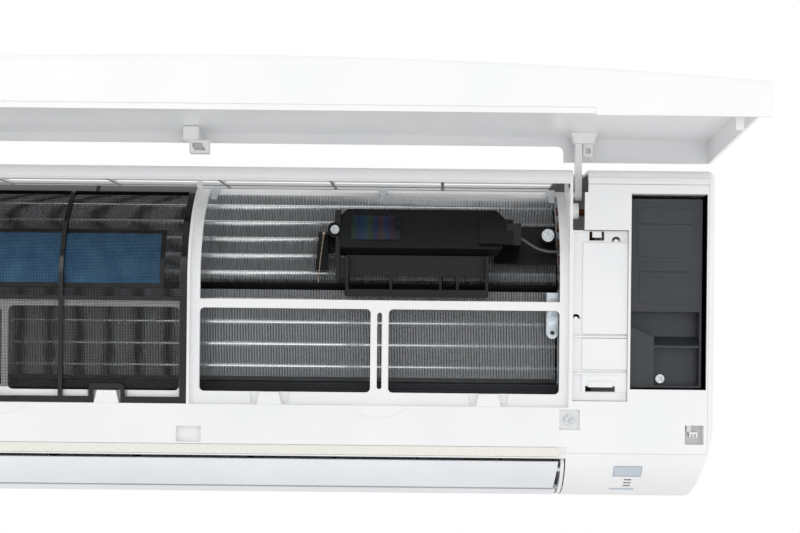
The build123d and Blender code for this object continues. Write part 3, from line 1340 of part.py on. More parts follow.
with BuildPart() as purifier_bracket:
    frame_low = 33.5
    frame_plate_y = -166.5
    frame_back_y = frame_plate_y + 2.0
    frame_end = purifier_left + 130.7
    back_low = coil_front(6.0, 76)
    back_high = coil_front(6.0, 98)
    deep_low = coil_front(8.5, 76)
    deep_high = coil_front(8.5, 98)
    side_prism([back_low, back_high, deep_high, deep_low], purifier_left - 14, right_screw[0] + 5)
    side_prism([coil_front(6.0, 63.5), coil_front(6.0, 99), coil_front(8.5, 99), coil_front(8.5, 63.5)],
               purifier_right - 10, right_screw[0] + 7)
    # feet on the coil
    for foot_x in (purifier_left + 20, purifier_left + 100, purifier_right + 20):
        side_prism([coil_front(clear, 82), coil_front(clear, 90), coil_front(6.5, 90), coil_front(6.5, 82)],
                   foot_x, foot_x + 8)
    # posts that carry the housing
    for post_x in (purifier_left + 12, purifier_right - 24):
        side_prism([coil_front(8.0, 78), coil_front(8.0, 92), (-150.0, 95.5), (-157.4, 81.5)], post_x,
                   post_x + 8)
    # open frame below the housing
    for x0 in (purifier_left + 5.3, frame_end - 2.5):
        side_prism([(-178, frame_low), (-178, 69), (-166, 66.5), (-152.5, 77.5), back_low,
                    (coil_front(1.5, 60)[0], 60), (frame_back_y, 48), (frame_back_y, frame_low)], x0,
                   x0 + 2.5)
    for low, high in ((33.5, 39.5), (52.5, 66)):
        slab(purifier_left + 5.3, frame_end, frame_plate_y, frame_back_y, low, high)
    side_prism([(frame_plate_y, 66), (frame_back_y, 66), (frame_back_y, 69.3), (frame_plate_y, 70.2)],
               purifier_left + 5.3, frame_end)
    for rib_x in (purifier_left + 43.5, purifier_left + 87.5, purifier_left + 102.5):
        slab(rib_x, rib_x + 2.5, frame_plate_y, frame_back_y, frame_low, 66)
    slab(purifier_left + 5.3, frame_end, -178, frame_plate_y + 1, frame_low, frame_low + 2)
    slab(purifier_left + 5.3, frame_end, -178, -176, frame_low, frame_low + 6.1)
    # wing and block at the left end
    side_prism([(-174, 84), (-166, 86), (-160, 78), (-163.5, 56), (-172, 47)], purifier_left - 4,
               purifier_left - clear)
    side_prism([(-170.5, 66.5), (-164.5, 66.5), (-165, 56), (-171, 50)], purifier_left - 1,
               purifier_left + 5.6)
    slab(purifier_left - 5.2, purifier_left - clear, -166, -156, 96, 110)
    slab(purifier_left - 5.2, purifier_left - clear, -158, coil_front(6.5, 97)[0], 96, 98.5)
    # ears for the two screws
    for ear in (left_screw, right_screw):
        inner = coil_front(7.0, ear[1])
        with BuildSketch(Plane.XZ.offset(-inner[0])):
            with Locations(ear):
                Circle(7)
                Circle(screw_hole, mode=Mode.SUBTRACT)
        extrude(amount=inner[0] - bracket_y)
    # arm that clips over the right end of the housing
    slab(purifier_right + clear, purifier_right + 13.3, -172, coil_front(7.0, 84)[0], 79.8, 99)
    face_plate(4.0, 29.0, 0.3, 2.3, purifier_right - 23.8, purifier_right + 6)
    # left clip
    clip_left = purifier_left - 21.2
    side_prism([coil_front(clear, 56), coil_front(clear, 92), coil_front(10, 92), coil_front(10, 56)],
               clip_left,
               clip_left + 9.0)
    for ear in (left_screw, right_screw):
        with BuildSketch(Plane.XZ.offset(-bracket_y - 3)):
            with Locations(ear):
                Circle(washer + 0.6)
        extrude(amount=20, mode=Mode.SUBTRACT)
        with BuildSketch(Plane.XZ.offset(130)):
            with Locations(ear):
                Circle(screw_hole)
        extrude(amount=30, mode=Mode.SUBTRACT)
purifier_bracket.part.label = "purifier_bracket"
export_step(purifier_bracket.part, "parts/purifier_bracket.step")

with BuildPart() as purifier_wire:
    wire_radius = 0.45
    wire_y = -176.0
    with BuildLine() as wire_path:
        Polyline((clip_left + 7, wire_y, 89), (clip_left + 4, wire_y, 64), (clip_left + 2.7, wire_y, 45))
    with BuildSketch(Plane(origin=wire_path.line @ 0, z_dir=wire_path.line % 0)):
        Circle(wire_radius)
    sweep(path=wire_path.line)
    with BuildSketch(Plane.XZ.offset(-wire_y)):
        with Locations((clip_left + 7, 88.5)):
            Circle(1.3)
    extrude(amount=wire_y - coil_front(10, 86.5)[0])
purifier_wire.part.label = "purifier_wire"
export_step(purifier_wire.part, "parts/purifier_wire.step")

with BuildPart() as purifier_cable:
    cable_radius = 1.25
    cable_y = -158.0
    cable_turn = 32.0
    cable_start = (purifier_right + 14.0, cable_y, 86.7)
    cable_corner = (purifier_right + 32.5, cable_y, 75.2)
    cable_end = (box_left, cable_y, 75.2)
    cable_bend = 0.45 * math.dist(cable_start, cable_corner) / math.tan(math.radians(cable_turn / 2))
    with BuildLine() as cable_path:
        FilletPolyline(cable_start, cable_corner, cable_end, radius=cable_bend)
    with BuildSketch(Plane(origin=cable_path.line @ 0, z_dir=cable_path.line % 0)):
        Circle(cable_radius)
    sweep(path=cable_path.line)
purifier_cable.part.label = "purifier_cable"
export_step(purifier_cable.part, "parts/purifier_cable.step")

# ================================================================ air filter
filter_outer = bend_radius - seat_depth + filter_gap + filter_thickness
filter_inner = filter_outer - filter_thickness
filter_back_y = seat_y - filter_gap
filter_front_y = filter_back_y - filter_thickness
filter_left = seats_left + 0.75
filter_right = bay_centres[0] + seat_width / 2 - 0.75
filter_low = seat_bottom + clear
filter_bar = 5.3


def filter_bar_x(x0, x1):
    """A rib that runs up the whole filter."""
    slab(x0, x1, filter_front_y, filter_back_y, filter_low, bend_z)
    bend_strip(filter_outer, filter_inner, 0, filter_end_angle, x0, x1)


with BuildPart() as filter_frame:
    filter_bar_x(filter_left, filter_left + filter_rim)
    filter_bar_x(filter_right - filter_rim, filter_right)
    for k in (1, 2):
        rib_x = filter_left + (filter_right - filter_left) * k / 3
        filter_bar_x(rib_x - filter_rib / 2, rib_x + filter_rib / 2)
    bend_strip(filter_outer, filter_inner, 55, filter_end_angle, filter_left, filter_right)
    slab(filter_left, filter_right, filter_front_y, filter_back_y, mid_rail_z + 1.7, mid_rail_z + 5.2)
    slab(filter_left, filter_right, filter_front_y, filter_back_y, filter_low, filter_low + filter_bar)
    for side in (-1, 1):
        arch_x = bay_centres[0] + side * tab_offset
        with BuildSketch(Plane.XZ.offset(-filter_back_y)):
            with Locations((arch_x, filter_low + 6.5)):
                RectangleRounded(2 * tab_half_low + 9.0, 20, 4)
        extrude(amount=filter_thickness)
        slab(arch_x - tab_half_low - 1, arch_x + tab_half_low + 1, filter_front_y - 1, filter_back_y + 1,
             filter_low - 5, window_bottom + 1, mode=Mode.SUBTRACT)
    slab(filter_left - 1, filter_right + 1, filter_front_y - 1, filter_back_y + 1, filter_low - 10,
         filter_low,
         mode=Mode.SUBTRACT)
    slab(bay_centres[0] - 15, bay_centres[0] + 15, filter_front_y - 3.5, filter_front_y, filter_low + 3,
         filter_low + filter_bar)
    # holder round the pad, clamped behind the mesh
    holder = 4.0
    holder_outer = filter_inner - 1.0
    pad_outer = filter_inner - 1.0
    pad_inner = pad_outer - pad_thickness
    pad_left = bay_centres[0] - pad_width / 2
    pad_right = bay_centres[0] + pad_width / 2
    pad_end_angle = math.degrees(math.asin((pad_high - bend_z) / pad_outer))
    holder_angle = math.degrees(holder / pad_outer)
    bend_strip(holder_outer, pad_inner, 0, pad_end_angle + holder_angle, pad_left - holder,
               pad_right + holder)
    slab(pad_left - holder, pad_right + holder, bend_y - holder_outer, bend_y - pad_inner, pad_low - holder,
         bend_z)
    bend_strip(holder_outer + 1, pad_inner - 1, -0.01, pad_end_angle + holder_angle * clear / holder,
               pad_left - clear, pad_right + clear, mode=Mode.SUBTRACT)
    slab(pad_left - clear, pad_right + clear, bend_y - holder_outer - 1, bend_y - pad_inner + 1,
         pad_low - clear,
         bend_z + 0.1, mode=Mode.SUBTRACT)
filter_frame.part.label = "filter_frame"
export_step(filter_frame.part, "parts/filter_frame.step")

with BuildPart() as filter_mesh:
    mesh_outer = filter_inner - 0.1
    bend_strip(mesh_outer, mesh_outer - mesh_thickness, 0, filter_end_angle, filter_left, filter_right)
    slab(filter_left, filter_right, bend_y - mesh_outer, bend_y - mesh_outer + mesh_thickness,
         window_bottom + 9, bend_z)
filter_mesh.part.label = "filter_mesh"
export_step(filter_mesh.part, "parts/filter_mesh.step")

with BuildPart() as air_cleaning_filter:
    bend_strip(pad_outer, pad_inner, 0, pad_end_angle, pad_left, pad_right)
    slab(pad_left, pad_right, bend_y - pad_outer, bend_y - pad_inner, pad_low, bend_z)
air_cleaning_filter.part.label = "air_cleaning_filter"
export_step(air_cleaning_filter.part, "parts/air_cleaning_filter.step")

# ================================================================ front panel, swung up
panel_near_y = hinge_y + panel_low - hinge_z
panel_far_y = hinge_y + panel_high - hinge_z
panel_half = half_w + panel_overhang
lip_end_x = seats_right + 1.3
rim_low = 7.5               # near rim above the others, left and right of the lip's end
rim_right = 6.3
lip_height = 4.5
side_rise = 14.0            # side rims rise towards the near one
cut_high = 14.4             # far wall, cut away between the hinge arms
boss_low = panel_rim_z + 14.0
boss_y0 = hinge_y - 10.5
boss_y1 = hinge_y + 9.5


def panel_top(x, y):
    """Height of the panel's outer face at a place on it."""
    share = (x / panel_half) ** 2
    near = panel_depth_low - panel_bow_low * share
    far = panel_depth_high - panel_bow_high * share
    part = (panel_far_y - y) / (panel_far_y - panel_near_y)
    return panel_rim_z + far + (near - far) * part


def panel_block(inset, low, mode=Mode.ADD):
    """The panel as a block: flat rim below, outer face bowed from end to end and sloping to the back."""
    half = panel_half - inset
    with BuildSketch(Plane.XZ.offset(-panel_near_y - inset)) as near:
        with BuildLine():
            middle = panel_rim_z + panel_depth_low - inset
            end = middle - panel_bow_low
            ThreePointArc((-half, end), (0, middle), (half, end))
            Polyline((half, end), (half, low), (-half, low), (-half, end))
        make_face()
    with BuildSketch(Plane.XZ.offset(-panel_far_y + inset)) as far:
        with BuildLine():
            middle = panel_rim_z + panel_depth_high - inset
            end = middle - panel_bow_high
            ThreePointArc((-half, end), (0, middle), (half, end))
            Polyline((half, end), (half, low), (-half, low), (-half, end))
        make_face()
    loft([near.sketch.face(), far.sketch.face()], ruled=True, mode=mode)


with BuildPart() as front_panel:
    panel_block(0, panel_rim_z)
    top_edges = front_panel.edges().filter_by(lambda e: e.center().Z > panel_rim_z + 12
                                              and abs(e.center().X) < 10)
    fillet(top_edges, panel_corner)
    panel_block(panel_wall, panel_rim_z - 1, mode=Mode.SUBTRACT)
    # near rim with its lip, a little behind the face, and the plain rim to its right
    slab(-panel_half - 1, lip_end_x, panel_near_y - 1, panel_near_y + panel_wall + 1, panel_rim_z - 1,
         panel_rim_z + rim_low, mode=Mode.SUBTRACT)
    slab(-panel_half - 1, lip_end_x, panel_near_y - 1, panel_near_y + 0.8, panel_rim_z - 1,
         panel_rim_z + rim_low + lip_height, mode=Mode.SUBTRACT)
    slab(lip_end_x - 1, panel_half + 1, panel_near_y - 1, panel_near_y + panel_wall + 1, panel_rim_z - 1,
         panel_rim_z + rim_right, mode=Mode.SUBTRACT)
    for x0, x1 in ((-panel_half - 1, -panel_half + panel_wall + 0.1),
                   (panel_half - panel_wall - 0.1, panel_half + 1)):
        side_prism([(panel_near_y + panel_wall, panel_rim_z - 1),
                    (panel_near_y + panel_wall, panel_rim_z + side_rise),
                    (panel_far_y - 1, panel_rim_z)], x0, x1, mode=Mode.SUBTRACT)
    # far rim, cut away between the hinge arms
    with BuildSketch(Plane.XZ.offset(-panel_far_y - 5)):
        with Locations(((seats_left + seats_right) / 2, panel_rim_z)):
            RectangleRounded(seats_right - seats_left - 5, 2 * cut_high, 6)
    extrude(amount=10, both=True, mode=Mode.SUBTRACT)
    # bosses for the hinge arms and for the hook in the middle, narrower towards the arms
    for x0, x1, taper in ((arm_centres[0] - 5, arm_centres[0] + 13, 2.0),
                          (arm_centres[1] - 7.5, arm_centres[1] + 16, 3.2),
                          (bay_centres[0] + 155.5, bay_centres[0] + 169.5, 0.4)):
        boss_top = min(panel_top(x0, boss_y1), panel_top(x1, boss_y1)) - panel_wall / 2
        front_prism([(x0, boss_top), (x0 + taper, boss_low), (x1 - taper, boss_low), (x1, boss_top)], boss_y1,
                    boss_y0)
    # clip beside the right arm, and the tab of the panel latch
    slab(arm_centres[1] + 4.2, arm_centres[1] + 12.6, hinge_y - 1, hinge_y + 5, boss_low - 10.5, boss_low)
    slab(arm_centres[1] + 6.2, arm_centres[1] + 10.6, hinge_y - 2, hinge_y + 3, boss_low - 8, boss_low - 3,
         mode=Mode.SUBTRACT)
    latch_y = hinge_y + (latch_z0 + latch_z1) / 2 - hinge_z
    latch_top = panel_top(latch_x1, latch_y) - panel_wall / 2
    slab(latch_x0 + 5, latch_x0 + 11, latch_y - 1, latch_y + 1, panel_rim_z - 1.5, latch_top)
front_panel.part.label = "front_panel"
export_step(front_panel.part, "parts/front_panel.step")

with BuildPart() as hinge_arms:
    pins = ((arm_centres[0], seats_left - 0.8), (arm_centres[1], seats_right - 0.8))
    for arm_x, pin_end in pins:
        slab(arm_x - arm_width / 2, arm_x + arm_width / 2, hinge_y - 5, hinge_y + 5, hinge_z, boss_low)
        rod((hinge_y, hinge_z), 5, arm_x - arm_width / 2, arm_x + arm_width / 2)
        rod((hinge_y, hinge_z), hinge_pin, min(arm_x, pin_end), max(arm_x, pin_end))
hinge_arms.part.label = "hinge_arms"
export_step(hinge_arms.part, "parts/hinge_arms.step")

with BuildPart() as centre_hook:
    hook_left = bay_centres[0] + 160.5
    hook_tip = panel_rim_z + 2.5
    slab(hook_left, hook_left + 17, hinge_y - 5.5, hinge_y + 4.5, hook_tip, boss_low)
    front_prism([(hook_left + 2.5, hook_tip + 6), (hook_left + 5, hook_tip + 2.5),
                 (hook_left + 14.5, hook_tip + 2.5),
                 (hook_left + 11, boss_low - 2.5), (hook_left + 2.5, boss_low - 2.5)], hinge_y + 2.5,
                hinge_y - 6,
                mode=Mode.SUBTRACT)
centre_hook.part.label = "centre_hook"
export_step(centre_hook.part, "parts/centre_hook.step")
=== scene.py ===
# %% [markdown]
# # Mini split indoor unit, panel lifted
# The casing, coil, fan, filter and electrical end come from the CAD frame, in metres, with the wall screws'
# centre at the origin, +X to the right and +Y into the wall. This lesson gives every piece the surface its real
# material has, and builds the pieces that a solid block can't stand for: the stack of fins, the woven filter
# net, the blue air-cleaning pad and the foam seal.

# %% Load the frame
import bpy
import math
import numpy as np
from mathutils import Matrix, Vector


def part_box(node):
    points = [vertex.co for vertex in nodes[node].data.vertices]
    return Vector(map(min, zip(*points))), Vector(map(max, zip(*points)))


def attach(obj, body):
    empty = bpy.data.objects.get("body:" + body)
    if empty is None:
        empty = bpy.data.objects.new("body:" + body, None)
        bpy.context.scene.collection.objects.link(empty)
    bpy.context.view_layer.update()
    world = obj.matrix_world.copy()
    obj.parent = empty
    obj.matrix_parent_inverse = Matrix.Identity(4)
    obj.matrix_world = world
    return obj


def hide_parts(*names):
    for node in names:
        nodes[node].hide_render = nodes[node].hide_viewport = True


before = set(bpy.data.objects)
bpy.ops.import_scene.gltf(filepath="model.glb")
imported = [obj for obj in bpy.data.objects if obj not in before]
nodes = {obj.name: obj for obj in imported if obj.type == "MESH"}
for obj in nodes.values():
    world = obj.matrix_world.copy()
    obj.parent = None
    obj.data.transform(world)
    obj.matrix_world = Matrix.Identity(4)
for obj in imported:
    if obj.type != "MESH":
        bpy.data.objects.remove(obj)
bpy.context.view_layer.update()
MM = 0.001

# %% [markdown]
# Every finish below is a small network of nodes. Colours are written as the eye sees them, in sRGB hex, and one
# function turns them into the linear numbers a renderer adds up. One more function adds a node with its settings
# and its links, so that each network reads from top to bottom.

# %% Colours and nodes
def colour(code):
    """sRGB hex to linear: c / 12.92 below 0.04045, else ((c + 0.055) / 1.055) to the power 2.4."""
    parts = [int(code[i:i + 2], 16) / 255 for i in (1, 3, 5)]
    return [c / 12.92 if c <= 0.04045 else ((c + 0.055) / 1.055) ** 2.4 for c in parts] + [1.0]


def add(tree, kind, sockets=None, **settings):
    """Adds one node: settings are its properties, sockets maps an input to a value or to another node's output."""
    made = tree.nodes.new(kind)
    for name, value in settings.items():
        setattr(made, name, value)
    for key, value in (sockets or {}).items():
        if isinstance(value, bpy.types.NodeSocket):
            tree.links.new(value, made.inputs[key])
        else:
            made.inputs[key].default_value = value
    return made


def start(name):
    """An empty material, its tree, and the Object coordinates that its patterns read, in metres."""
    material = bpy.data.materials.new(name)
    material.use_nodes = True
    tree = material.node_tree
    tree.nodes.clear()
    place = add(tree, "ShaderNodeTexCoord").outputs["Object"]
    return material, tree, place


def close(tree, shader):
    """Joins a shader to the material's output."""
    add(tree, "ShaderNodeOutputMaterial", {"Surface": shader})


def per_mm(size):
    """Scale of a texture whose features are this many millimetres across."""
    return 1.0 / (size * MM)


print("colour check, mid grey:", round(colour("#808080")[0], 4))

# %% [markdown]
# **Moulded plastics.** Casing, cover, fan and drain pan are injection moulded: ABS or polystyrene poured into a
# steel tool whose skin was spark-eroded. The eye reads that as a soft satin with a very fine grain, a slightly
# uneven sheen where the melt flowed, and edges that are never quite sharp. So the network has three parts: a
# broad, faint tint, a fine grain that drives roughness and bump, and a small rounding of the edges. The real grain
# is about 0.1 mm; it is drawn at 0.6 mm so that it still shows.

# %% Moulded plastic
def moulded(name, hue, shade, rough=0.42, grain=0.6, depth=0.02, gloss=0.45, edge=0.4, coat=0.0):
    """Satin moulded plastic between two near tones. Tint = noise at 90 mm; roughness and bump = noise at grain."""
    material, tree, place = start(name)
    flow = add(tree, "ShaderNodeTexNoise", {"Vector": place, "Scale": per_mm(90), "Detail": 3.0})
    tone = add(tree, "ShaderNodeValToRGB", {"Fac": flow.outputs["Fac"]})
    tone.color_ramp.elements[0].position = 0.35
    tone.color_ramp.elements[0].color = colour(shade)
    tone.color_ramp.elements[1].position = 0.65
    tone.color_ramp.elements[1].color = colour(hue)
    fine = add(tree, "ShaderNodeTexNoise", {"Vector": place, "Scale": per_mm(grain), "Detail": 2.0})
    sheen = add(tree, "ShaderNodeMapRange", {"Value": fine.outputs["Fac"], "To Min": rough - 0.06,
                                             "To Max": rough + 0.06})
    round_off = add(tree, "ShaderNodeBevel", {"Radius": edge * MM}, samples=4)
    bump = add(tree, "ShaderNodeBump", {"Height": fine.outputs["Fac"], "Strength": 0.35,
                                        "Distance": depth * MM, "Normal": round_off.outputs["Normal"]})
    shader = add(tree, "ShaderNodeBsdfPrincipled", {
        "Base Color": tone.outputs["Color"], "Roughness": sheen.outputs["Result"], "IOR": 1.53,
        "Specular IOR Level": gloss, "Coat Weight": coat, "Coat Roughness": 0.12, "Normal": bump.outputs["Normal"]})
    close(tree, shader.outputs["BSDF"])
    return material


casing_abs = moulded("satin_white_abs", "#f6f6f6", "#f1f2f3")
panel_abs = moulded("semi_gloss_white_abs", "#f6f6f7", "#f2f3f4", rough=0.3, coat=0.15)
vane_abs = moulded("satin_pale_grey_abs", "#eff1f4", "#e8ebef", rough=0.3)
grey_abs = moulded("satin_light_grey_abs", "#c9cccf", "#bfc3c7")
button_abs = moulded("pale_blue_grey_abs", "#c3cdd8", "#b9c4d0", rough=0.3)
cover_pp = moulded("slate_grey_polypropylene", "#393c42", "#313439", rough=0.4, gloss=0.35)
black_ps = moulded("matt_black_polystyrene", "#111113", "#0b0b0d", rough=0.4, gloss=0.28)
pan_ps = moulded("charcoal_polystyrene_foam", "#37393c", "#2c2e31", rough=0.6, grain=2.5, depth=0.15, gloss=0.2)
gloss_black_pp = moulded("gloss_black_polypropylene", "#08080a", "#050506", rough=0.12, gloss=0.45, edge=0.6)
soft_rubber = moulded("matt_black_rubber", "#17181a", "#101113", rough=0.7, gloss=0.2)
lead_pvc = moulded("grey_pvc_lead", "#5f6164", "#4f5154", rough=0.4, edge=0.1)
lens_pc = moulded("smoked_polycarbonate_lens", "#5b6066", "#4f545a", rough=0.15, gloss=0.5, edge=0.1)
print("moulded finishes:", len(bpy.data.materials))

# %% [markdown]
# **Sheet steel, tube and screws.** The brackets are galvanised: hot zinc freezes on the steel in flat crystals,
# the spangle, each a slightly different grey. A Voronoi cell pattern is just such a field of crystals. Copper tube
# is drawn through a die, which leaves faint lines along it, and it dulls to brown in patches. The screws are
# zinc-plated, bright and faintly blue.

# %% Metals
def metal(name, hues, cell, rough, stretch=(1.0, 1.0, 1.0), relief=0.01):
    """Metal whose tone and roughness follow Voronoi cells of a given size, stretched along the working direction."""
    material, tree, place = start(name)
    turned = add(tree, "ShaderNodeMapping", {"Vector": place, "Scale": stretch})
    cells = add(tree, "ShaderNodeTexVoronoi", {"Vector": turned.outputs["Vector"], "Scale": per_mm(cell)})
    pick = add(tree, "ShaderNodeSeparateColor", {"Color": cells.outputs["Color"]})
    tone = add(tree, "ShaderNodeValToRGB", {"Fac": pick.outputs["Red"]})
    tone.color_ramp.elements[0].color = colour(hues[0])
    tone.color_ramp.elements[1].color = colour(hues[1])
    dull = add(tree, "ShaderNodeMapRange", {"Value": pick.outputs["Green"], "To Min": rough - 0.08,
                                            "To Max": rough + 0.08})
    fine = add(tree, "ShaderNodeTexNoise", {"Vector": turned.outputs["Vector"], "Scale": per_mm(cell * 0.3)})
    bump = add(tree, "ShaderNodeBump", {"Height": fine.outputs["Fac"], "Strength": 0.3, "Distance": relief * MM})
    shader = add(tree, "ShaderNodeBsdfPrincipled", {
        "Base Color": tone.outputs["Color"], "Metallic": 1.0, "Roughness": dull.outputs["Result"],
        "Normal": bump.outputs["Normal"]})
    close(tree, shader.outputs["BSDF"])
    return material


galvanised = metal("galvanised_sheet_steel", ("#aab3b9", "#c4ccd1"), 5.0, 0.38)
copper = metal("drawn_copper_tube", ("#9a5a3c", "#c27a55"), 3.0, 0.36, stretch=(0.15, 1.0, 1.0))
brass = metal("turned_brass", ("#b8924f", "#caa562"), 1.5, 0.3)
zinc = metal("bright_zinc_plate", ("#9fa4a8", "#c6cbce"), 1.0, 0.3)
steel_wire = metal("tarnished_steel_wire", ("#6f665a", "#a89c8a"), 1.5, 0.4)
collar_aluminium = metal("bright_aluminium_collar", ("#e2e4e5", "#f6f7f7"), 1.4, 0.22, stretch=(1.0, 0.3, 0.3))
print("metals:", galvanised.name, copper.name, brass.name, zinc.name)

# %% [markdown]
# **Printed circuit board, display window, electrode film.** The board is glass fibre under green lacquer, with
# paler tracks. The window is a milky plate in front of the display. The film behind the purifier's grille is a
# thin coating: it splits white light into bands, so it is drawn as bands of weak colour across the film.

# %% Board, window, film
def board():
    """Green lacquer; tracks = a brick pattern at 4 mm."""
    material, tree, place = start("green_lacquered_board")
    tracks = add(tree, "ShaderNodeTexBrick", {
        "Vector": place, "Color1": colour("#1f5a38"), "Color2": colour("#256642"), "Mortar": colour("#2f7a52"),
        "Scale": per_mm(20), "Mortar Size": 0.03})
    shader = add(tree, "ShaderNodeBsdfPrincipled", {"Base Color": tracks.outputs["Color"], "Roughness": 0.35})
    close(tree, shader.outputs["BSDF"])
    return material


def window():
    """Milky plate: smooth, slightly blue, with a soft mottle at 15 mm."""
    material, tree, place = start("milky_display_window")
    cloud = add(tree, "ShaderNodeTexNoise", {"Vector": place, "Scale": per_mm(15)})
    tone = add(tree, "ShaderNodeValToRGB", {"Fac": cloud.outputs["Fac"]})
    tone.color_ramp.elements[0].color = colour("#bfc9d3")
    tone.color_ramp.elements[1].color = colour("#c9d2db")
    shader = add(tree, "ShaderNodeBsdfPrincipled", {"Base Color": tone.outputs["Color"], "Roughness": 0.12,
                                                    "Coat Weight": 0.5})
    close(tree, shader.outputs["BSDF"])
    return material


def film():
    """Thin film: a ramp of interference colours across X, broken by fine vertical lines at 1.6 mm."""
    material, tree, place = start("interference_film")
    low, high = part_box("purifier_film")
    along = add(tree, "ShaderNodeSeparateXYZ", {"Vector": place})
    wobble = add(tree, "ShaderNodeTexNoise", {"Vector": place, "Scale": per_mm(12), "Detail": 3.0})
    share = add(tree, "ShaderNodeMapRange", {"Value": along.outputs["X"], "From Min": low.x, "From Max": high.x})
    moved = add(tree, "ShaderNodeMath", {0: wobble.outputs["Fac"], 1: 0.16, 2: share.outputs["Result"]},
                operation="MULTIPLY_ADD")
    bands = add(tree, "ShaderNodeValToRGB", {"Fac": moved.outputs["Value"]})
    stops = [(0.0, "#0c1214"), (0.12, "#122a1e"), (0.24, "#101f3c"), (0.36, "#0f3040"), (0.48, "#22301a"),
             (0.58, "#141f40"), (0.7, "#33241a"), (0.8, "#132440"), (0.92, "#28182a"), (1.0, "#0c1014")]
    ramp = bands.color_ramp
    ramp.elements[0].color = colour(stops[0][1])
    ramp.elements[1].color = colour(stops[-1][1])
    for position, code in stops[1:-1]:
        ramp.elements.new(position).color = colour(code)
    lines = add(tree, "ShaderNodeTexWave", {"Vector": place, "Scale": per_mm(1.6) / 6.28}, bands_direction="X")
    shader = add(tree, "ShaderNodeBsdfPrincipled", {
        "Base Color": bands.outputs["Color"], "Roughness": 0.2, "Specular IOR Level": 0.4,
        "Normal": add(tree, "ShaderNodeBump", {"Height": lines.outputs["Fac"], "Strength": 0.2,
                                               "Distance": 0.05 * MM}).outputs["Normal"]})
    close(tree, shader.outputs["BSDF"])
    return material


circuit_board = board()
display_plate = window()
electrode_film = film()
print("special finishes:", circuit_board.name, display_plate.name, electrode_film.name)

# %% [markdown]
# **Dress the CAD nodes.** Each node keeps its mesh and gets the finish of its real counterpart.

# %% Which finish goes where
finishes = {
    casing_abs: ["rear_casing", "front_casing", "intake_grille", "service_cover", "panel_catch", "hinge_arms",
                 "centre_hook"],
    panel_abs: ["front_panel"],
    vane_abs: ["vane_upper", "vane_lower"],
    grey_abs: ["outlet_frame", "vane_motors", "filter_clips"],
    button_abs: ["emergency_button"],
    cover_pp: ["electrical_cover"],
    black_ps: ["purifier_housing", "purifier_bracket", "electrical_box", "terminal_block", "fan_motor",
               "louvre_link_left", "louvre_link_right"] +
              [f"louvre_{side}_{k}" for side in ("left", "right") for k in range(1, 5)],
    pan_ps: ["drain_pan", "fan_rotor"],
    gloss_black_pp: ["filter_frame"],
    soft_rubber: ["fan_bearing"],
    lead_pvc: ["purifier_cable"],
    lens_pc: ["indicator_lenses"],
    galvanised: ["installation_plate", "coil_end_plate_left", "coil_end_plate_right", "coil_bracket",
                 "motor_bracket"],
    copper: ["coil_tubes", "return_bends", "liquid_pipe", "gas_pipe"],
    brass: ["flare_nuts"],
    zinc: ["screws", "fan_shaft"],
    steel_wire: ["purifier_wire"],
    circuit_board: ["control_board", "display_board"],
    display_plate: ["display_window"],
    electrode_film: ["purifier_film"],
}
for material, names in finishes.items():
    for name in names:
        nodes[name].data.materials.clear()
        nodes[name].data.materials.append(material)
dressed = {name for names in finishes.values() for name in names}
print("dressed:", len(dressed), "still bare:", sorted(set(nodes) - dressed))

# %% [markdown]
# **New meshes from arrays.** A piece is a grid of points worked out in numpy, and its faces are the squares
# between neighbours. One function turns such a grid into a mesh, and wraps it round where the grid closes.

# %% Grid to mesh
def grid_faces(rows, columns, wrap):
    """Corner numbers of the squares of a rows x columns grid; wrap also joins the last column to the first."""
    i, j = np.meshgrid(np.arange(rows - 1), np.arange(columns if wrap else columns - 1), indexing="ij")
    k = (j + 1) % columns
    return np.stack([i * columns + j, i * columns + k, (i + 1) * columns + k, (i + 1) * columns + j],
                    axis=-1).reshape(-1, 4)


def mesh_object(name, points, quads, material, smooth=True):
    """Puts arrays of points (n, 3) and quads (m, 4) into a new object at the origin."""
    mesh = bpy.data.meshes.new(name)
    mesh.vertices.add(len(points))
    mesh.vertices.foreach_set("co", np.asarray(points, np.float32).ravel())
    mesh.loops.add(quads.size)
    mesh.loops.foreach_set("vertex_index", np.asarray(quads, np.int32).ravel())
    mesh.polygons.add(len(quads))
    mesh.polygons.foreach_set("loop_start", np.arange(0, quads.size, 4, dtype=np.int32))
    mesh.polygons.foreach_set("use_smooth", np.full(len(quads), smooth))
    mesh.update(calc_edges=True)
    mesh.validate()
    made = bpy.data.objects.new(name, mesh)
    bpy.context.scene.collection.objects.link(made)
    made.data.materials.append(material)
    return made


def many(points, faces):
    """Repeats one grid's faces for a stack of grids: points is (copies, n, 3)."""
    copies, n = points.shape[:2]
    shifted = faces[None, :, :] + (np.arange(copies) * n)[:, None, None]
    return points.reshape(-1, 3), shifted.reshape(-1, 4)


print("one 3 x 4 grid has", len(grid_faces(3, 4, False)), "squares")

# %% [markdown]
# **The coil.** A fin is a strip of aluminium foil as deep as the pack, punched with collars that grip the tubes
# and pressed into a shallow wave that stirs the air. Hundreds stand side by side, 1.4 mm apart. Each one is a
# closed ring of points (down one side of the foil and back up the other) carried along the pack. The foil is
# 0.1 mm thick in reality; it is drawn at 0.34 mm so that the stack doesn't break up into noise, and a slow random
# bend along each front edge gives the brushed, slightly combed look of a real coil. Where the collars meet, their
# lips stand out in front, and each tube shows as a thin bright line.

# %% Fins and collars
fin_pitch = 1.4 * MM
fin_thickness = 0.34 * MM
fin_wave = 0.18 * MM
fin_bend = 0.09 * MM
fin_margin = 0.6 * MM
pack_depth = 20 * MM
coil_x = (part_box("fin_pack_lower")[0].x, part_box("fin_pack_lower")[1].x)


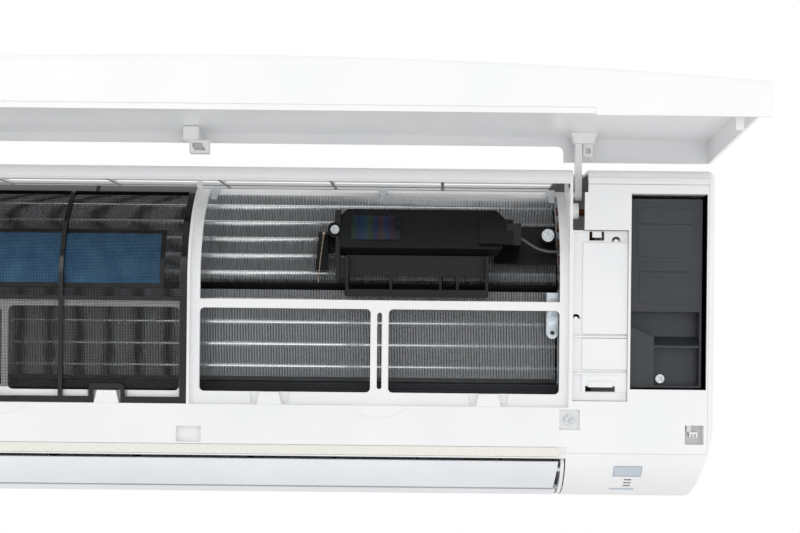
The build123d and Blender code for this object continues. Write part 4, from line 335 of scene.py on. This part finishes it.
def fin_foil():
    """Coated aluminium foil, streaked along the pack at 1.5 mm, with the bare bright cut of its edges in front."""
    material, tree, place = start("coated_aluminium_foil")
    stretched = add(tree, "ShaderNodeMapping", {"Vector": place, "Scale": (1.0, 0.05, 0.05)})
    streak = add(tree, "ShaderNodeTexNoise", {"Vector": stretched.outputs["Vector"], "Scale": per_mm(1.5),
                                              "Detail": 4.0})
    tone = add(tree, "ShaderNodeValToRGB", {"Fac": streak.outputs["Fac"]})
    tone.color_ramp.elements[0].position = 0.4
    tone.color_ramp.elements[0].color = colour("#6b6f72")
    tone.color_ramp.elements[1].position = 0.6
    tone.color_ramp.elements[1].color = colour("#a4a8ab")
    depth = add(tree, "ShaderNodeAttribute", attribute_name="depth_mm")
    cut = add(tree, "ShaderNodeMapRange", {"Value": depth.outputs["Fac"], "From Min": 0.0, "From Max": 0.5,
                                           "To Min": 1.0, "To Max": 0.0})
    mixed = add(tree, "ShaderNodeMix", {0: cut.outputs["Result"], 6: tone.outputs["Color"], 7: colour("#c9cccf")},
                data_type="RGBA")
    shader = add(tree, "ShaderNodeBsdfPrincipled", {"Base Color": mixed.outputs[2], "Metallic": 0.35,
                                                    "Roughness": 0.42})
    close(tree, shader.outputs["BSDF"])
    return material


def fin_stack(name, start_point, direction, normal, length, seed, top_cut=None):
    """A pack of fins. Point = start + along * direction + into * normal; x = fin number * pitch + wave + bend."""
    random = np.random.default_rng(seed)
    count = int((coil_x[1] - coil_x[0]) / fin_pitch) - 1
    ring_into = np.array([0.0, 0.25, 0.5, 0.75, 1.0, 1.0, 0.75, 0.5, 0.25, 0.0]) * pack_depth
    side = np.array([-0.5] * 5 + [0.5] * 5) * fin_thickness
    wave = np.sin(ring_into / pack_depth * 2 * math.pi * 1.5) * fin_wave
    steps = 9
    along = np.linspace(fin_margin, length - fin_margin, steps)
    knots = random.normal(0.0, 1.0, (count, steps))
    neighbours = (np.roll(knots, 1, 0) + np.roll(knots, -1, 0) + np.roll(knots, 2, 0)) / 3
    bend = (0.5 * knots + 0.5 * neighbours) * fin_bend
    front = np.clip(1.0 - ring_into / (0.4 * pack_depth), 0.0, 1.0)
    base = coil_x[0] + fin_pitch * (np.arange(count) + 1)
    x = base[:, None, None] + (side + wave)[None, None, :] + bend[:, :, None] * front[None, None, :]
    reach = np.broadcast_to(along[None, :, None], x.shape)
    into = np.broadcast_to(ring_into[None, None, :], x.shape)
    if top_cut is not None:
        reach = np.minimum(reach, top_cut(into))
    y = start_point[0] + direction[0] * reach + normal[0] * into
    z = start_point[1] + direction[1] * reach + normal[1] * into
    points = np.stack([x, y, z], axis=-1).reshape(count, -1, 3)
    faces = grid_faces(steps, 10, True)
    ends = np.array([[0, 9, 8, 1], [1, 8, 7, 2], [2, 7, 6, 3], [3, 6, 5, 4]])
    far = (ends + (steps - 1) * 10)[:, ::-1]
    points, quads = many(points, np.concatenate([faces, ends, far]))
    made = mesh_object(name, points, quads, foil, smooth=False)
    depth = made.data.attributes.new("depth_mm", "FLOAT", "POINT")
    depth.data.foreach_set("value", (into / MM).astype(np.float32).ravel())
    print(name, "fins:", count, "triangles:", 2 * len(quads))
    return made


lip_angle = 0.5


def rods(name, centres, fronts, radius, lip, x0, x1, material, sides=20):
    """Collar sleeves along X. Round a centre r(t) = radius + lip * exp(-(t / lip_angle)^2), t from the front."""
    u = np.linspace(-1, 1, sides, endpoint=False)
    t = math.pi * np.sign(u) * np.abs(u) ** 1.6
    reach = radius + lip * np.exp(-(t / lip_angle) ** 2)
    front = np.array(fronts)
    across = np.stack([-front[:, 1], front[:, 0]], -1)
    ring = np.array(centres)[:, None, :] + reach[None, :, None] * (
        np.cos(t)[None, :, None] * front[:, None, :] + np.sin(t)[None, :, None] * across[:, None, :])
    middle = np.broadcast_to(np.array(centres)[:, None, :], ring.shape)
    flat = np.stack([middle, ring, ring, middle], 1)
    x = np.broadcast_to(np.array([x0, x0, x1, x1])[None, :, None, None], flat.shape[:3] + (1,))
    points, quads = many(np.concatenate([x, flat], -1).reshape(len(centres), -1, 3), grid_faces(4, sides, True))
    return mesh_object(name, points, quads, material)


foil = fin_foil()
tube_pitch = 19.6 * MM
pack_edge = 5.0 * MM
row_pitch = 10.0 * MM
tilt = math.radians(36.8)
rear_tilt = math.radians(40.0)
lower_start = (-161.0 * MM, -38.9 * MM)
lower_length = 4 * tube_pitch
upper_start = (lower_start[0] - 2.9 * MM, lower_start[1] + lower_length + 8.0 * MM)
upper_direction = (math.sin(tilt), math.cos(tilt))
upper_normal = (math.cos(tilt), -math.sin(tilt))
upper_length = 5 * tube_pitch + 6 * MM
upper_inner_top = (upper_start[0] + upper_direction[0] * upper_length + upper_normal[0] * pack_depth,
                   upper_start[1] + upper_direction[1] * upper_length + upper_normal[1] * pack_depth)
rear_start = (upper_inner_top[0] + 2.0 * MM, upper_inner_top[1] - 2.4 * MM)
rear_direction = (math.sin(rear_tilt), -math.cos(rear_tilt))
rear_normal = (math.cos(rear_tilt), math.sin(rear_tilt))
rear_length = 3 * tube_pitch
notch = (upper_start[0] - upper_direction[0] * MM + upper_normal[0] * pack_depth,
         upper_start[1] - upper_direction[1] * MM + upper_normal[1] * pack_depth)


def lower_cut(into):
    """The lower pack stops on the slanted end of the upper one: z falls with the slope of the tilt."""
    y = lower_start[0] + into
    edge_z = notch[1] - (y - notch[0]) * math.sin(tilt) / math.cos(tilt)
    return np.minimum(edge_z - lower_start[1], lower_length - fin_margin)


fins = {
    "fin_pack_lower": fin_stack("fins_lower", lower_start, (0, 1), (1, 0), lower_length, 1, lower_cut),
    "fin_pack_upper": fin_stack("fins_upper", upper_start, upper_direction, upper_normal, upper_length, 2),
    "fin_pack_rear": fin_stack("fins_rear", rear_start, rear_direction, rear_normal, rear_length, 3),
}


# Painted shade: the shadow in the gap between the lower and upper packs is drawn as a thin black slab.
shade_front, shade_back = 4.5 * MM, 19.6 * MM
shade_below, shade_above = -0.15 * MM, 0.45 * MM


def painted_gap_shade():
    """Painted shade, not a real part: a thin black closed slab over the lower end of the upper pack, just below the
    ends of its fins, dark where the gap between the packs is in shadow.
    """
    into = np.array([shade_front, shade_front, shade_back, shade_back])
    along = np.array([shade_below, shade_above, shade_above, shade_below])
    y = upper_start[0] + upper_direction[0] * along + upper_normal[0] * into
    z = upper_start[1] + upper_direction[1] * along + upper_normal[1] * into
    x = np.array([coil_x[0] + 0.5 * MM, coil_x[1] - 0.5 * MM])
    points = np.stack([np.repeat(x, 4), np.tile(y, 2), np.tile(z, 2)], -1)
    quads = np.concatenate([grid_faces(2, 4, True), [[3, 2, 1, 0], [4, 5, 6, 7]]])
    return mesh_object("painted_gap_shade", points, quads, soft_rubber, smooth=False)


def tube_centres(start_point, direction, normal, count, spare, first, second):
    """Centres of the two tube rows of a pack, the second half a pitch further on."""
    along = np.concatenate([(np.arange(count) + 0.5) * tube_pitch,
                            (np.arange(count - 1 + spare) + 1) * tube_pitch])
    into = np.concatenate([np.full(count, first), np.full(count - 1 + spare, second)])
    return [(start_point[0] + direction[0] * a + normal[0] * i, start_point[1] + direction[1] * a + normal[1] * i)
            for a, i in zip(along, into)]


centres = (tube_centres(lower_start, (0, 1), (1, 0), 4, 0, pack_edge, pack_edge + row_pitch) +
           tube_centres(upper_start, upper_direction, upper_normal, 5, 1, pack_edge, pack_edge + row_pitch) +
           tube_centres(rear_start, rear_direction, rear_normal, 3, 0, pack_depth - pack_edge,
                        pack_depth - pack_edge - row_pitch))
fronts = [(-1.0, 0.0)] * 7 + [(-upper_normal[0], -upper_normal[1])] * 10 + [rear_normal] * 5
collar_radius = 3.75 * MM
collar_lip = 1.15 * MM
collar_inset = 0.3 * MM
collars = rods("fin_collars", centres, fronts, collar_radius, collar_lip, coil_x[0] + collar_inset,
               coil_x[1] - collar_inset, collar_aluminium)
for node_name, piece in fins.items():
    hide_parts(node_name)
    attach(piece, "unit")
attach(collars, "unit")
# The black slab paints the shade in the gap between the packs.
shade_slab = painted_gap_shade()
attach(shade_slab, "unit")
print("tubes:", len(centres))

# %% [markdown]
# **The filter net.** It is woven from black nylon monofilament, clamped into the glossy frame. A painted weave
# would be opaque or would need a cut-out picture, so here each thread is a real thread: straight ones across, and
# ones that follow the frame up and over the coil. Seen against the fins they make the shimmering pattern that the
# real net makes. Real threads are about 0.2 mm at 0.8 mm; they are drawn twice as coarse.

# %% Net
net_pitch = 1.3 * MM
thread = 0.44 * MM
bend_y, bend_z = -95.0 * MM, 45.0 * MM
net_radius = 94.55 * MM
net_end = math.radians(62.0)
weave_lift = 0.4
net_low = -48.6 * MM
net_left, net_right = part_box("filter_mesh")[0].x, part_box("filter_mesh")[1].x


def net_line(s):
    """Point (y, z) at a distance s up the net: straight to the bend, then round it."""
    straight = bend_z - net_low
    angle = np.clip((s - straight) / net_radius, 0.0, None)
    y = bend_y - net_radius * np.cos(angle)
    z = np.where(s < straight, net_low + s, bend_z + net_radius * np.sin(angle))
    return y, z, angle


def nylon():
    """Black monofilament: dark, smooth, with a clear highlight along each thread; lint makes it uneven at 9 mm."""
    material, tree, place = start("black_nylon_monofilament")
    lint = add(tree, "ShaderNodeTexNoise", {"Vector": place, "Scale": per_mm(9.0), "Detail": 5.0})
    tone = add(tree, "ShaderNodeValToRGB", {"Fac": lint.outputs["Fac"]})
    tone.color_ramp.elements[0].position = 0.4
    tone.color_ramp.elements[0].color = colour("#070708")
    tone.color_ramp.elements[1].position = 0.75
    tone.color_ramp.elements[1].color = colour("#26282b")
    shader = add(tree, "ShaderNodeBsdfPrincipled", {"Base Color": tone.outputs["Color"], "Roughness": 0.22,
                                                    "IOR": 1.53})
    close(tree, shader.outputs["BSDF"])
    return material


def net():
    """Threads across: x from end to end, alternately lifted and sunk. Threads up: the net line, in flat rings."""
    total = (bend_z - net_low) + net_radius * net_end
    sides = 4
    turn = np.linspace(0, 2 * math.pi, sides, endpoint=False) + math.pi / 4
    rows = np.arange(0.5, total / net_pitch - 0.5) * net_pitch
    y, z, angle = net_line(rows)
    lift = (np.arange(len(rows)) % 2 - 0.5) * thread * weave_lift
    out = np.stack([np.zeros_like(y), -np.cos(angle), np.sin(angle)], -1)
    up = np.stack([np.zeros_like(y), np.sin(angle), np.cos(angle)], -1)
    middle = np.stack([np.zeros_like(y), y, z], -1) + out * lift[:, None]
    ring = (out[:, None, :] * np.cos(turn)[None, :, None] + up[:, None, :] * np.sin(turn)[None, :, None])
    ring = ring * thread / 2 + middle[:, None, :]
    ends = np.stack([ring + [net_left, 0, 0], ring + [net_right, 0, 0]], axis=1).reshape(len(rows), -1, 3)
    across = many(ends, grid_faces(2, sides, True))
    columns = net_left + np.arange(0.5, (net_right - net_left) / net_pitch - 0.5) * net_pitch
    steps = np.concatenate([[0.0], np.linspace(bend_z - net_low, total, 16)])
    y, z, angle = net_line(steps)
    out = np.stack([np.zeros_like(y), -np.cos(angle), np.sin(angle)], -1)
    sideways = np.array([1.0, 0, 0])
    ring = out[:, None, :] * np.cos(turn)[None, :, None] + sideways * np.sin(turn)[None, :, None]
    tube = (ring * thread / 2 + np.stack([np.zeros_like(y), y, z], -1)[:, None, :]).reshape(1, -1, 3)
    tubes = tube + columns[:, None, None] * sideways
    upward = many(tubes, grid_faces(len(steps), sides, True)[:, ::-1])
    points = np.concatenate([across[0], upward[0]])
    quads = np.concatenate([across[1], upward[1] + len(across[0])])
    made = mesh_object("filter_net", points, quads, nylon())
    print("net threads:", len(rows), "across,", len(columns), "up, triangles:", 2 * len(quads))
    return made


filter_net = net()
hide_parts("filter_mesh")
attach(filter_net, "filter")

# %% [markdown]
# **The air-cleaning pad.** A sheet of blue non-woven cloth folded into small pleats, so that more of it meets the
# air. It follows the bend of the filter. A pleat is a rounded zigzag: a sine wave added to the radius.

# %% Pad
pad_low_corner, pad_high_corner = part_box("air_cleaning_filter")
pad_outer = 93.6 * MM
pad_inner = 90.5 * MM
pad_curve = 93.9 * MM
pleat_height = 0.25 * MM
pleat_pitch = 3.0 * MM


def pad_cloth():
    """Non-woven cloth: blue fibres laid at random, seen as noise at 0.8 mm over a broader cloud at 14 mm."""
    material, tree, place = start("blue_nonwoven_cloth")
    fibre = add(tree, "ShaderNodeTexNoise", {"Vector": place, "Scale": per_mm(0.9), "Detail": 6.0,
                                             "Roughness": 0.75})
    cloud = add(tree, "ShaderNodeTexNoise", {"Vector": place, "Scale": per_mm(14.0)})
    mixed = add(tree, "ShaderNodeMath", {0: fibre.outputs["Fac"], 1: cloud.outputs["Fac"]}, operation="ADD")
    tone = add(tree, "ShaderNodeValToRGB", {"Fac": add(tree, "ShaderNodeMath", {
        0: mixed.outputs["Value"], 1: 0.5}, operation="MULTIPLY").outputs["Value"]})
    tone.color_ramp.elements[0].position = 0.35
    tone.color_ramp.elements[0].color = colour("#2a7fc0")
    tone.color_ramp.elements[1].position = 0.65
    tone.color_ramp.elements[1].color = colour("#66b8ea")
    bump = add(tree, "ShaderNodeBump", {"Height": fibre.outputs["Fac"], "Strength": 0.5, "Distance": 0.2 * MM})
    shader = add(tree, "ShaderNodeBsdfPrincipled", {"Base Color": tone.outputs["Color"], "Roughness": 0.85,
                                                    "Sheen Weight": 0.3, "Normal": bump.outputs["Normal"]})
    close(tree, shader.outputs["BSDF"])
    return material


def pleated_pad():
    """Closed sheet: radius = pad_outer + pleat and pad_inner + pleat; pleat = height * sin(2 pi s / pitch)."""
    low_z = pad_low_corner.z
    top_angle = math.asin((pad_high_corner.z - bend_z) / pad_curve)
    s = np.linspace(low_z - bend_z, top_angle * pad_curve, 120)
    angle = np.clip(s / pad_curve, 0.0, None)
    pleat = pleat_height * np.sin(2 * math.pi * s / pleat_pitch)
    ring = []
    for radius in (pad_outer + pleat, pad_inner + pleat * 0.3):
        y = bend_y - radius * np.cos(angle)
        z = np.where(s < 0, bend_z + s, bend_z + radius * np.sin(angle))
        ring.append(np.stack([y, z], -1))
    ring = np.concatenate([ring[0], ring[1][::-1]])
    x = np.array([pad_low_corner.x, pad_low_corner.x, pad_high_corner.x, pad_high_corner.x])
    shrink = np.array([0.0, 1.0, 1.0, 0.0])
    centre = ring.mean(0)
    flat = centre + (ring[None, :, :] - centre) * shrink[:, None, None]
    points = np.concatenate([np.broadcast_to(x[:, None, None], (4, len(ring), 1)), flat], -1).reshape(-1, 3)
    return mesh_object("pleated_pad", points, grid_faces(4, len(ring), True), pad_cloth())


pad = pleated_pad()
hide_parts("air_cleaning_filter")
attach(pad, "filter")
print("pad triangles:", len(pad.data.polygons) * 2)

# %% [markdown]
# **The foam seal.** A strip of open-cell foam glued along the lower front, which the panel presses on. Foam is cut,
# not moulded: its face is slightly wavy and full of pores.

# %% Foam strip
def foam():
    """Open-cell foam: cream, matt, pores = Voronoi cells at 1.2 mm."""
    material, tree, place = start("cream_polyurethane_foam")
    pores = add(tree, "ShaderNodeTexVoronoi", {"Vector": place, "Scale": per_mm(1.2)})
    tone = add(tree, "ShaderNodeValToRGB", {"Fac": pores.outputs["Distance"]})
    tone.color_ramp.elements[0].color = colour("#f8f7f1")
    tone.color_ramp.elements[1].color = colour("#e6e4da")
    bump = add(tree, "ShaderNodeBump", {"Height": pores.outputs["Distance"], "Strength": 0.6,
                                        "Distance": 0.3 * MM}, invert=True)
    shader = add(tree, "ShaderNodeBsdfPrincipled", {"Base Color": tone.outputs["Color"], "Roughness": 0.9,
                                                    "Normal": bump.outputs["Normal"]})
    close(tree, shader.outputs["BSDF"])
    return material


def foam_strip():
    """Rounded strip: a ring of 12 points with a squashed-circle outline, its depth wavering slowly along X."""
    low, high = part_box("foam_seal")
    steps, sides = 90, 12
    t = np.linspace(0, 2 * math.pi, sides, endpoint=False)
    across = np.sign(np.cos(t)) * np.abs(np.cos(t)) ** 0.4
    upward = np.sign(np.sin(t)) * np.abs(np.sin(t)) ** 0.4
    x = np.linspace(low.x, high.x, steps)
    waver = 1.0 - 0.12 * (0.5 + 0.5 * np.sin(x * 61.0) * np.sin(x * 23.0 + 1.0))
    end = np.ones(steps)
    end[[0, -1]] = 0.0
    y = (low.y + high.y) / 2 + (high.y - low.y) / 2 * across[None, :] * waver[:, None] * end[:, None]
    z = (low.z + high.z) / 2 + (high.z - low.z) / 2 * upward[None, :] * end[:, None]
    points = np.stack([np.broadcast_to(x[:, None], y.shape), y, z], -1).reshape(-1, 3)
    return mesh_object("foam_strip", points, grid_faces(steps, sides, True), foam())


strip = foam_strip()
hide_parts("foam_seal")
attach(strip, "unit")
print("foam strip:", [round(v, 4) for v in strip.dimensions])

# %% [markdown]
# **Floor, light and camera.** A product shot on white: the world is plain white to the camera, to mirrors and
# through glass, and a softer grey to everything else, so that the object keeps its shading. One large soft lamp
# stands at the front left, and a broader one fills in from the right, a little below the unit.

# %% World and floor
def studio_world():
    """Background strength = 1 for camera, glossy and transmission rays, and the ambient level for the rest."""
    world = bpy.data.worlds.new("studio")
    world.use_nodes = True
    tree = world.node_tree
    tree.nodes.clear()
    rays = add(tree, "ShaderNodeLightPath")
    seen = add(tree, "ShaderNodeMath", {0: rays.outputs["Is Camera Ray"], 1: rays.outputs["Is Glossy Ray"]},
               operation="MAXIMUM")
    seen = add(tree, "ShaderNodeMath", {0: seen.outputs["Value"], 1: rays.outputs["Is Transmission Ray"]},
               operation="MAXIMUM")
    level = add(tree, "ShaderNodeMapRange", {"Value": seen.outputs["Value"], "To Min": ambient, "To Max": 1.0})
    sky = add(tree, "ShaderNodeBackground", {"Color": (1, 1, 1, 1), "Strength": level.outputs["Result"]})
    add(tree, "ShaderNodeOutputWorld", {"Surface": sky.outputs["Background"]})
    bpy.context.scene.world = world


def floor():
    """A pale sheet below the unit, x = 1.6 u and y = 1.3 v - 0.1, curved up at its far edge as v to the power 4."""
    u = np.linspace(-1, 1, floor_steps)
    v = np.linspace(-1, 1, floor_steps)
    x, y = np.meshgrid(u * 1.6, v * 1.3 - 0.1, indexing="ij")
    z = floor_z + floor_rise * np.clip(v, 0, 1)[None, :] ** 4 * np.ones_like(x)
    material, tree, place = start("pale_matt_paper")
    speck = add(tree, "ShaderNodeTexNoise", {"Vector": place, "Scale": per_mm(4.0)})
    tone = add(tree, "ShaderNodeValToRGB", {"Fac": speck.outputs["Fac"]})
    tone.color_ramp.elements[0].color = colour("#efefef")
    tone.color_ramp.elements[1].color = colour("#f4f4f4")
    shader = add(tree, "ShaderNodeBsdfPrincipled", {"Base Color": tone.outputs["Color"], "Roughness": 0.9})
    close(tree, shader.outputs["BSDF"])
    made = mesh_object("studio_floor", np.stack([x, y, z], -1).reshape(-1, 3),
                       grid_faces(floor_steps, floor_steps, False)[:, ::-1], material)


ambient = 0.94
floor_steps = 24
floor_z = -0.55
floor_rise = 0.02
studio_world()
floor()
print("ambient level:", ambient)

# %% Lamps
def lamp(name, spot, target, size, watts):
    """A square area lamp at spot, facing target, unseen by the camera."""
    data = bpy.data.lights.new(name, "AREA")
    data.shape = "SQUARE"
    data.size = size
    data.energy = watts
    made = bpy.data.objects.new(name, data)
    bpy.context.scene.collection.objects.link(made)
    made.location = spot
    made.rotation_mode = "QUATERNION"
    made.rotation_quaternion = (Vector(target) - Vector(spot)).to_track_quat("-Z", "Y")
    made.visible_camera = False
    return made


lamp("key", (-0.9, -2.2, 0.9), (0.0, -0.25, 0.05), 0.9, 3.3)
lamp("fill", (0.8, -2.0, -0.3), (0.1, -0.2, 0.0), 1.2, 3.3)

# %% Camera
# The view was worked out from the photo: the parallel edges of the unit give the optical axis, right of and below
# the picture's middle, so the lens is shifted; the unit hangs 0.6 degrees off level.
photo_width, photo_height = 800, 533
axis_px = (441.0, 335.0)
focal_px = 1447.0
roll = 0.0105
camera_data = bpy.data.cameras.new("camera")
camera_data.sensor_width = 36.0
camera_data.lens = focal_px / photo_width * camera_data.sensor_width
camera_data.shift_x = (photo_width / 2 - axis_px[0]) / photo_width
camera_data.shift_y = (axis_px[1] - photo_height / 2) / photo_width
camera_data.clip_end = 50.0
camera = bpy.data.objects.new("camera", camera_data)
bpy.context.scene.collection.objects.link(camera)
camera.matrix_world = (Matrix.Translation((0.163, -1.448, 0.0)) @ Matrix.Rotation(math.radians(90), 4, "X") @
                       Matrix.Rotation(roll, 4, "Z"))
bpy.context.scene.camera = camera
bpy.context.scene.view_settings.view_transform = "Standard"
print("lens:", round(camera_data.lens, 2), "shift:", round(camera_data.shift_x, 4), round(camera_data.shift_y, 4))
